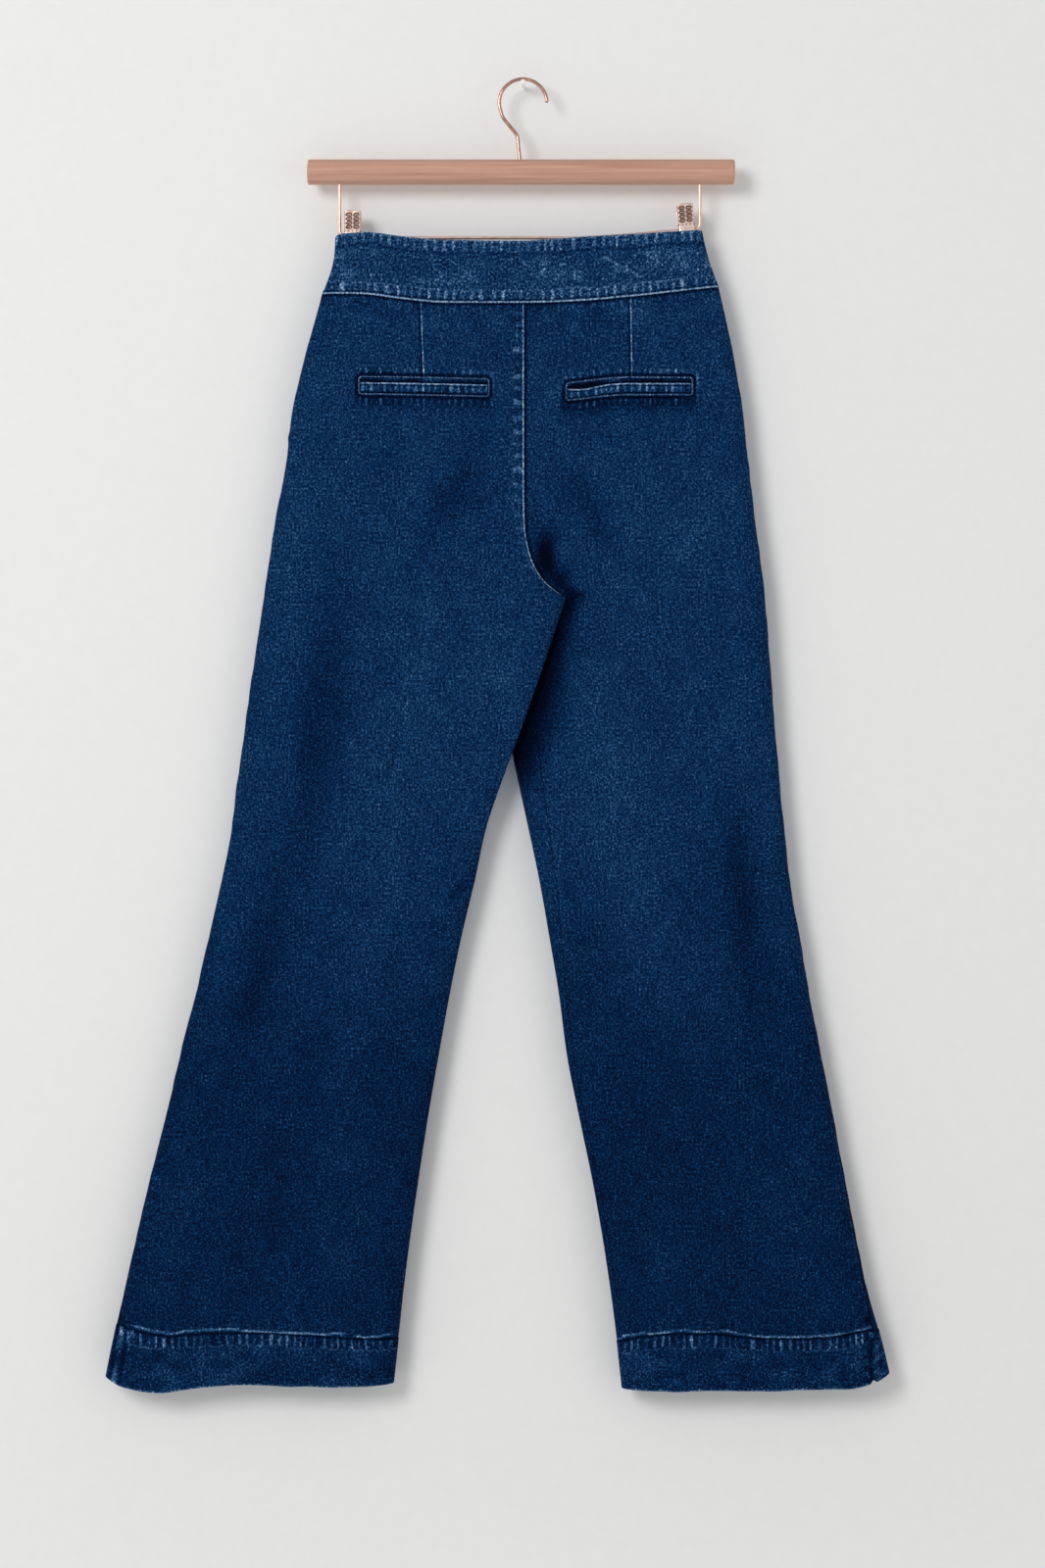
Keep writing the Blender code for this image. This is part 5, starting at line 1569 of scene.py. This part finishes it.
def denim(name, lift, contrast):
    """Indigo twill with salt-and-pepper grain, paler where worn, with painted shade in its ditches and
    creases.
    """
    shader = Shader(name, Roughness=0.95, Specular_IOR_Level=0.03)
    cut = shader.node("Attribute", attribute_name="cut").outputs["Vector"]
    mm = shader.scaled(cut, (1000.0, 1000.0, 1000.0))
    flecks = shader.grain(mm, (1.9, 2.3, 1.0), 3.0, 0.75)
    slubs = shader.grain(mm, (1.5, 15.0, 1.0), 2.0, 0.6)
    clouds = shader.grain(mm, (16.0, 34.0, 1.0), 3.0, 0.6)
    wide = shader.grain(mm, (80.0, 160.0, 1.0), 2.0, 0.5)
    beads = shader.grain(mm, (4.5, 4.5, 1.0), 2.0, 0.6)
    split = shader.node("SeparateXYZ", {0: mm})
    slanting = shader.add(shader.times(split.outputs[0], 5.0), shader.times(split.outputs[1], 2.4))
    twill = shader.maths("SINE", shader.add(slanting, shader.times(flecks, 5.0)))

    # Puckered strips: pale dashes on the ridges, worn there and partly a painted highlight, with darker dips
    # between them as painted shade
    phase = shader.number("phase")
    dash = shader.maths("ABSOLUTE", shader.maths("SUBTRACT", shader.maths("FRACT", phase), 0.5))
    cell = shader.node("TexWhiteNoise", {"W": shader.maths("FLOOR", phase)}, noise_dimensions="1D")
    tall = shader.add(0.35, shader.times(cell.outputs["Value"], 0.9))
    dash = shader.times(shader.step(dash, 0.06, 0.30, 1.0, 0.0), tall)
    dashes = shader.add(shader.times(dash, 0.36), shader.times(beads, 0.30), -0.13)
    dashes = shader.times(shader.number("strip"), dashes)

    lines = shader.maths("MAXIMUM", shader.line("edge_mm", 0.35, 1.35), shader.line("frame_mm", 0.25, 0.95))
    dart = shader.times(shader.line("dart_mm", 0.2, 0.85), shader.times(shader.number("dart_on"), 0.9))
    lines = shader.maths("MAXIMUM", lines, dart)
    faint = shader.times(shader.line("faint_mm", 0.3, 1.1), shader.add(0.15, shader.times(beads, 0.5)))
    # The last term darkens the cloth by the painted shade and the darker tones that the pieces set
    value = shader.add(
        0.42 + lift,
        shader.times(flecks, 1.65 * contrast),
        shader.times(slubs, 0.36 * contrast),
        shader.times(clouds, 0.16),
        shader.times(wide, 0.12),
        shader.times(twill, 0.035),
        dashes,
        shader.times(shader.number("wear"), shader.add(0.9, flecks)),
        shader.times(lines, shader.add(0.40, shader.times(beads, 0.4))),
        faint,
        shader.times(shader.number("deep"), -0.27),
    )
    inner = shader.ramp(shader.add(value, 0.14), DENIM_RAMP)
    shader.look(Base_Color=shader.blend(shader.number("inside"), shader.ramp(value, DENIM_RAMP), inner))
    height = shader.add(flecks, shader.times(slubs, 0.5), shader.times(twill, 0.12))
    shader.relief(shader.add(height, shader.times(dashes, 2.0)), 0.00045, 0.8)
    return shader.material


def thread(name, colour):
    shader = Shader(name, Roughness=0.75, Specular_IOR_Level=0.2)
    strands = shader.grain(shader.place(900.0), (1.0, 1.0, 1.0), 3.0, 0.6)
    pale = tuple(min(1.0, 2.2 * value) for value in colour)
    shader.look(Base_Color=shader.ramp(shader.add(0.5, strands), ((0.3, colour), (0.8, pale))))
    shader.relief(strands, 0.0002, 0.6)
    return shader.material


def beech():
    """Pale wood with long grain lines and short rays."""
    shader = Shader("beech", Roughness=0.5, Specular_IOR_Level=0.35)
    mm = shader.place(1000.0)
    bands = shader.grain(mm, (120.0, 4.0, 4.0), 3.0, 0.55, 0.3)
    lines = shader.grain(mm, (60.0, 0.9, 0.9), 3.0, 0.6)
    flecks = shader.step(shader.grain(mm, (3.0, 0.7, 0.7), 1.0, 0.5), 0.16, 0.30)
    value = shader.add(0.52, shader.times(bands, 0.7), shader.times(lines, 0.55), shader.times(flecks, -0.14))
    stops = ((0.15, (0.300, 0.145, 0.095)), (0.5, (0.455, 0.250, 0.175)), (0.85, (0.560, 0.345, 0.255)))
    shader.look(Base_Color=shader.ramp(value, stops), Roughness=shader.step(lines, -0.3, 0.3, 0.42, 0.60))
    shader.relief(shader.add(lines, shader.times(flecks, -0.2)), 0.0003, 0.4)
    return shader.material


# One rose-gold plating in three copies: the hook's darker tones are painted shade and the plates' paler ones
# a painted highlight, in place of what the metal reflects
HOOK_SHADED_TONES = ((0.2, (0.330, 0.165, 0.125)), (0.5, (0.500, 0.290, 0.225)), (0.85, (0.700, 0.470, 0.390)))
WIRE_TONES = ((0.2, (0.560, 0.300, 0.230)), (0.5, (0.740, 0.460, 0.370)), (0.85, (0.880, 0.620, 0.530)))
PLATE_LIT_TONES = ((0.2, (0.700, 0.450, 0.370)), (0.5, (0.880, 0.660, 0.580)), (0.85, (0.960, 0.800, 0.730)))
# The colour that a plate's painted shade turns it towards
SLOT_SHADE = (0.060, 0.022, 0.016, 1.0)


def rose_gold(name, roughness, stops, with_dark=False):
    """Polished copper-coloured plating with fine brushing and a few dull spots."""
    shader = Shader(name, Metallic=1.0)
    brushed = shader.grain(shader.place((2600.0, 2600.0, 400.0)), (1.0, 1.0, 1.0), 3.0, 0.6)
    dull = shader.grain(shader.place(210.0), (1.0, 1.0, 1.0), 3.0, 0.6)
    colour = shader.ramp(shader.add(0.5, shader.times(dull, 0.9)), stops)
    if with_dark:
        # Painted shade: the plate darkens towards the slot colour where its field says
        colour = shader.blend(shader.maths("MULTIPLY", shader.number("deep"), 0.92, True), colour, SLOT_SHADE)
    rough = shader.add(roughness, shader.times(brushed, 0.10), shader.times(dull, 0.12))
    shader.look(Base_Color=colour, Roughness=rough)
    shader.relief(brushed, 0.00002, 0.3)
    return shader.material


def painted(name, colour, one_sided=False):
    """Matt paint with a faint grain, clear from behind if it is one-sided."""
    shader = Shader(name, Roughness=0.9, Specular_IOR_Level=0.1)
    grain = shader.grain(shader.place(90.0), (1.0, 1.0, 1.0), 4.0, 0.6)
    shade = tuple(value * 0.97 for value in colour)
    shader.look(Base_Color=shader.ramp(shader.add(0.5, grain), ((0.2, shade), (0.8, colour))))
    if one_sided:
        behind = shader.node("NewGeometry").outputs["Backfacing"]
        clear = shader.node("BsdfTransparent").outputs[0]
        both = shader.node("MixShader", {0: behind, 1: shader.surface.outputs[0], 2: clear})
        shader.put(shader.nodes["Material Output"].inputs["Surface"], both.outputs[0])
    return shader.material


# Stage, in metres: a wall close behind the jeans, and a floor below the picture
FLOOR_Z = -1.42
FLOOR_NEAR, FLOOR_FAR, FLOOR_HALF = -5.0, 4.0, 4.0
WALL_Y = 0.0255
WALL_TOP = 1.2
WALL_HALF = 1.4

# The nail under the hook: x, and along Y its places and radii
NAIL_X = 0.5
NAIL_STEPS = np.array([-5.0, -4.4, -3.2, -2.9, 4.0, 14.0, WALL_Y / MM])
NAIL_RADII = np.array([1.9, 2.5, 2.5, 1.7, 1.7, 1.7, 1.7])
NAIL_BELOW = 1.75


def staged(name, mesh, material):
    mesh.materials.append(material)
    item = bpy.data.objects.new(name, mesh)
    bpy.context.scene.collection.objects.link(item)
    return item


def flat_panel(name, corners, material):
    mesh = bpy.data.meshes.new(name)
    mesh.from_pydata(corners, [], [(0, 1, 2, 3)])
    return staged(name, mesh, material)


def stage_set():
    """A white wall close behind the jeans and a pale floor below the picture, both clear from their backs."""
    across = (-WALL_HALF, WALL_HALF, WALL_HALF, -WALL_HALF)
    corners = [(x, WALL_Y, z) for x, z in zip(across, (FLOOR_Z, FLOOR_Z, WALL_TOP, WALL_TOP))]
    wall = flat_panel("backdrop", corners, painted("wall_paint", (0.725, 0.725, 0.72), True))
    wall.visible_shadow = False
    wall.visible_diffuse = False
    nail_z = HOOK_CENTRE[1] + HOOK_BEND - HOOK_RADIUS - NAIL_BELOW
    path = np.stack([NAIL_X + 0 * NAIL_STEPS, NAIL_STEPS, nail_z + 0 * NAIL_STEPS], axis=1)
    mesh = joined_mesh("nail", [tube_group(path, NAIL_RADII, 20)])
    staged("nail", mesh, painted("nail_paint", (0.78, 0.76, 0.73)))
    across = (-FLOOR_HALF, FLOOR_HALF, FLOOR_HALF, -FLOOR_HALF)
    corners = [(x, y, FLOOR_Z) for x, y in zip(across, (FLOOR_NEAR, FLOOR_NEAR, FLOOR_FAR, FLOOR_FAR))]
    flat_panel("floor", corners, painted("floor_paint", (0.74, 0.74, 0.73), True))


# White disk lights: place, what they face, width and power
LIGHTS = {
    "key": ((-2.0, -3.7, 0.8), (0.0, 0.0, -0.6), 1.7, 94.0),
    "fill": ((1.9, -1.9, -0.5), (0.0, 0.0, -0.7), 1.6, 5.0),
    "back_left": ((-1.6, 2.3, 0.4), (0.0, 0.0, -0.7), 1.6, 52.0),
    "back_right": ((1.8, 2.0, -0.2), (0.0, 0.0, -0.7), 1.6, 24.0),
}
SKY_STRENGTH = 0.60
CAMERA_PLACE = (0.0, -3.466, -0.6583)
CAMERA_LENS = 85.0
SENSOR_WIDTH = 36.0


def lights_and_camera():
    scene = bpy.context.scene
    scene.view_settings.view_transform = "Standard"
    scene.world = bpy.data.worlds.new("studio")
    scene.world.use_nodes = True
    background = scene.world.node_tree.nodes["Background"]
    background.inputs["Color"].default_value = (1.0, 1.0, 1.0, 1.0)
    background.inputs["Strength"].default_value = SKY_STRENGTH
    for name, (place, towards, width, power) in LIGHTS.items():
        light = bpy.data.lights.new(name, "AREA")
        light.shape = "DISK"
        light.size = width
        light.energy = power
        item = bpy.data.objects.new(name, light)
        item.location = place
        way = mathutils.Vector(towards) - mathutils.Vector(place)
        item.rotation_euler = way.to_track_quat("-Z", "Y").to_euler()
        scene.collection.objects.link(item)
    camera = bpy.data.cameras.new("camera")
    camera.lens = CAMERA_LENS
    camera.sensor_width = SENSOR_WIDTH
    item = bpy.data.objects.new("camera", camera)
    item.location = CAMERA_PLACE
    item.rotation_euler = (math.pi / 2, 0.0, 0.0)
    scene.collection.objects.link(item)
    scene.camera = item


# Where the sewing runs: out from the pocket's edges, below the hem's and above the waistband's seam, and how
# far it stands off the cloth
POCKET_SEWING = 1.5
HEM_SEWING = 2.9
BAND_SEWING = 2.5
SEWING_LIFT = {"pocket": 0.40, "hem": 0.12, "band": 0.02}


def pocket_sewing(side, label):
    """The path round a pocket's frame."""
    outer_x, inner_x = POCKETS[label][:2]
    span = np.linspace(outer_x, inner_x, 60)
    top = pocket_upper(label, (span - outer_x) / (inner_x - outer_x)) + 0.9
    low = top - POCKET_HEIGHT - 2.2
    first, last = span[0] - side * POCKET_SEWING, span[-1] + side * POCKET_SEWING
    steps = np.linspace(0, 1, 12)[1:-1]
    x = np.concatenate([span, np.full(10, last), span[::-1], np.full(10, first)])
    z = np.concatenate([top, mix(top[-1], low[-1], steps), low[::-1], mix(low[0], top[0], steps)])
    return layer_point(side, BACK, x, z, SEWING_LIFT["pocket"])


def hem_sewing(side, face):
    """The path along a panel's lower edge, above the hem band's seam."""
    share = np.linspace(0.04, 0.96, 120)
    z = hem[SIDE_NAMES[side] + "_seam"](share) + HEM_SEWING
    x = mix(outer_edge(side, z), inner_fold(side, z), share)
    return layer_point(side, face, x, z, SEWING_LIFT["hem"])


def band_sewing(face):
    """The path along the waistband, above its seam."""
    places = np.linspace(BAND[0][0], BAND[-1][0], 240)[None, :]
    path = band_grid(face, places, np.array([[1 - BAND_SEWING / BAND_HEIGHT]]))[0, 6:-6]
    path[:, 1] += face * SEWING_LIFT["band"]
    return path


def stitching(material):
    """Rows of stitches by their names, each with the name of the piece that it is sewn to."""
    rows = {}
    for side, label in SIDE_NAMES.items():
        path = pocket_sewing(side, label)
        rows["pocket_stitches_" + label] = (path, "denim_welt", "back_panel_" + label)
        for face, layer in FACE_NAMES.items():
            path = hem_sewing(side, face)
            rows[f"hem_stitches_{layer}_{label}"] = (path, "denim_hem", f"{layer}_panel_{label}")
    for face, layer in FACE_NAMES.items():
        path = band_sewing(face)
        rows["waist_stitches_" + layer] = (path, "denim_waistband", f"waistband_{layer}_cloth")
    sewn = {}
    for name, (path, slot, owner) in rows.items():
        sewn[name] = stitch_row(name, path, material), owner
    return sewn


# The zip's closed coil: its ends, pitch, how far in it lies from the side seam, and its loops' two radii
ZIP_TOP = -150.0
ZIP_END = -334.0
ZIP_PITCH = 1.5
ZIP_IN = 3.4
ZIP_LOOP = 0.75
ZIP_WIRE = 0.22
BAND_END = -203.0


def zip_coil(material):
    """The closed coil of the side zip, just inside the wearer's left side seam."""
    turns = np.linspace(0, 2 * math.pi, 11)
    loop = ZIP_LOOP * np.stack([np.cos(turns), np.sin(turns), turns / math.pi - 1], axis=1)
    groups = []
    for height in np.arange(ZIP_TOP, ZIP_END, -ZIP_PITCH):
        edge = float(outer_edge(LEFT, np.array(height)))
        if height > BAND_END:
            down = (height - BAND_TOP_LEVEL) / (BAND_LEVEL - BAND_TOP_LEVEL)
            edge = float(mix(band["top_x"](BAND[0][0]), BAND[0][0], down))
            edge += BAND_HOLLOW_LEFT * math.sin(math.pi * max(down, 0))
        middle = np.array([edge + ZIP_IN, float(depths["side_y"](height)), height])
        groups.append(tube_group(middle + loop, ZIP_WIRE, 5))
    return new_piece("zip_coil", joined_mesh("zip_coil", groups), material)


# How much paler each part's denim is, or darker below 0, and the contrast of its grain
DENIMS = {
    "back": (-0.012, 1.0),
    "front": (-0.012, 1.0),
    "waistband": (0.010, 1.15),
    "hem": (-0.005, 1.12),
    "welt": (0.04, 1.0),
}


def cloth_pieces():
    """Every cloth piece by its name, each over the node that it replaces."""
    cloths = {name: denim("denim_" + name, *tones) for name, tones in DENIMS.items()}
    sheets = {}
    for side, label in SIDE_NAMES.items():
        for face, layer in FACE_NAMES.items():
            name = f"{layer}_panel_{label}"
            sheets[name] = leg_panel(name, side, face, cloths[layer])
            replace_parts(sheets[name], f"{layer}_{label}")
            name = f"hem_{layer}_{label}_cloth"
            sheets[name] = hem_band(name, side, face, cloths["hem"])
            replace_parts(sheets[name], f"hem_band_{layer}_{label}")
        for kind in STRIPS:
            name = f"pocket_{kind}_{label}_cloth"
            sheets[name] = pocket_strip(name, kind, label, cloths["welt"])
            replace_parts(sheets[name], f"pocket_{kind}_{label}")
    for face, layer in FACE_NAMES.items():
        name = f"waistband_{layer}_cloth"
        sheets[name] = waistband(name, face, cloths["waistband"])
        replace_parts(sheets[name], "waistband_" + layer)
    return sheets


def hanger_pieces():
    hook_metal = rose_gold("rose_gold_hook", 0.20, HOOK_SHADED_TONES)
    wire_metal = rose_gold("rose_gold_wire", 0.34, WIRE_TONES)
    plate_metal = rose_gold("rose_gold_plate", 0.28, PLATE_LIT_TONES, True)
    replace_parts(hanger_bar(beech()), "hanger_bar")
    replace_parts(wire("hook_wire", hook_path(), HOOK_RADIUS, hook_metal), "hanger_hook")
    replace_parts(wire("frame_wire", frame_path(), WIRE_RADIUS, wire_metal), "hanger_frame")
    plates = (("outer", BACK, FRONT_PLATE), ("inner", FRONT, REAR_PLATE))
    for label in CLIPS:
        for kind, way, profile in plates:
            piece = clip_plate(f"plate_{kind}_{label}", label, way, profile, plate_metal)
            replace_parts(piece, f"clip_plate_{kind}_{label}")
        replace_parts(clip_spring(label, wire_metal), "clip_spring_" + label)


# The cut of each cloth piece: width and length in metres, flat area, and what it hangs from
CUTS = {
    "back_panel_left": (0.300, 1.020, 0.249, "waistband_back_cloth"),
    "back_panel_right": (0.290, 1.020, 0.216, "waistband_back_cloth"),
    "front_panel_left": (0.290, 1.020, 0.224, "waistband_front_cloth"),
    "front_panel_right": (0.300, 1.020, 0.240, "waistband_front_cloth"),
    "waistband_back_cloth": (0.375, 0.060, 0.0209, "plate_outer_left"),
    "waistband_front_cloth": (0.375, 0.060, 0.0201, "plate_inner_left"),
    "hem_back_left_cloth": (0.275, 0.050, 0.0133, "back_panel_left"),
    "hem_front_left_cloth": (0.275, 0.050, 0.0133, "front_panel_left"),
    "hem_back_right_cloth": (0.262, 0.050, 0.0128, "back_panel_right"),
    "hem_front_right_cloth": (0.262, 0.050, 0.0128, "front_panel_right"),
    "pocket_lip_left_cloth": (0.118, 0.010, 0.00045, "back_panel_left"),
    "pocket_lip_right_cloth": (0.115, 0.010, 0.00045, "back_panel_right"),
    "pocket_welt_left_cloth": (0.118, 0.010, 0.0011, "back_panel_left"),
    "pocket_welt_right_cloth": (0.115, 0.010, 0.0011, "back_panel_right"),
}


def declare_sheets(sewn, zip_piece):
    for name, (width, length, area, rests_on) in CUTS.items():
        extra = [piece for piece, owner in sewn.values() if owner == name]
        if name == "back_panel_left":
            extra.append(zip_piece)


def main():
    sheets = cloth_pieces()
    sewn = stitching(thread("indigo_thread", (0.010, 0.030, 0.075)))
    zip_piece = zip_coil(thread("zip_coil", (0.012, 0.018, 0.035)))
    hanger_pieces()
    declare_sheets(sewn, zip_piece)
    stage_set()
    lights_and_camera()


main()
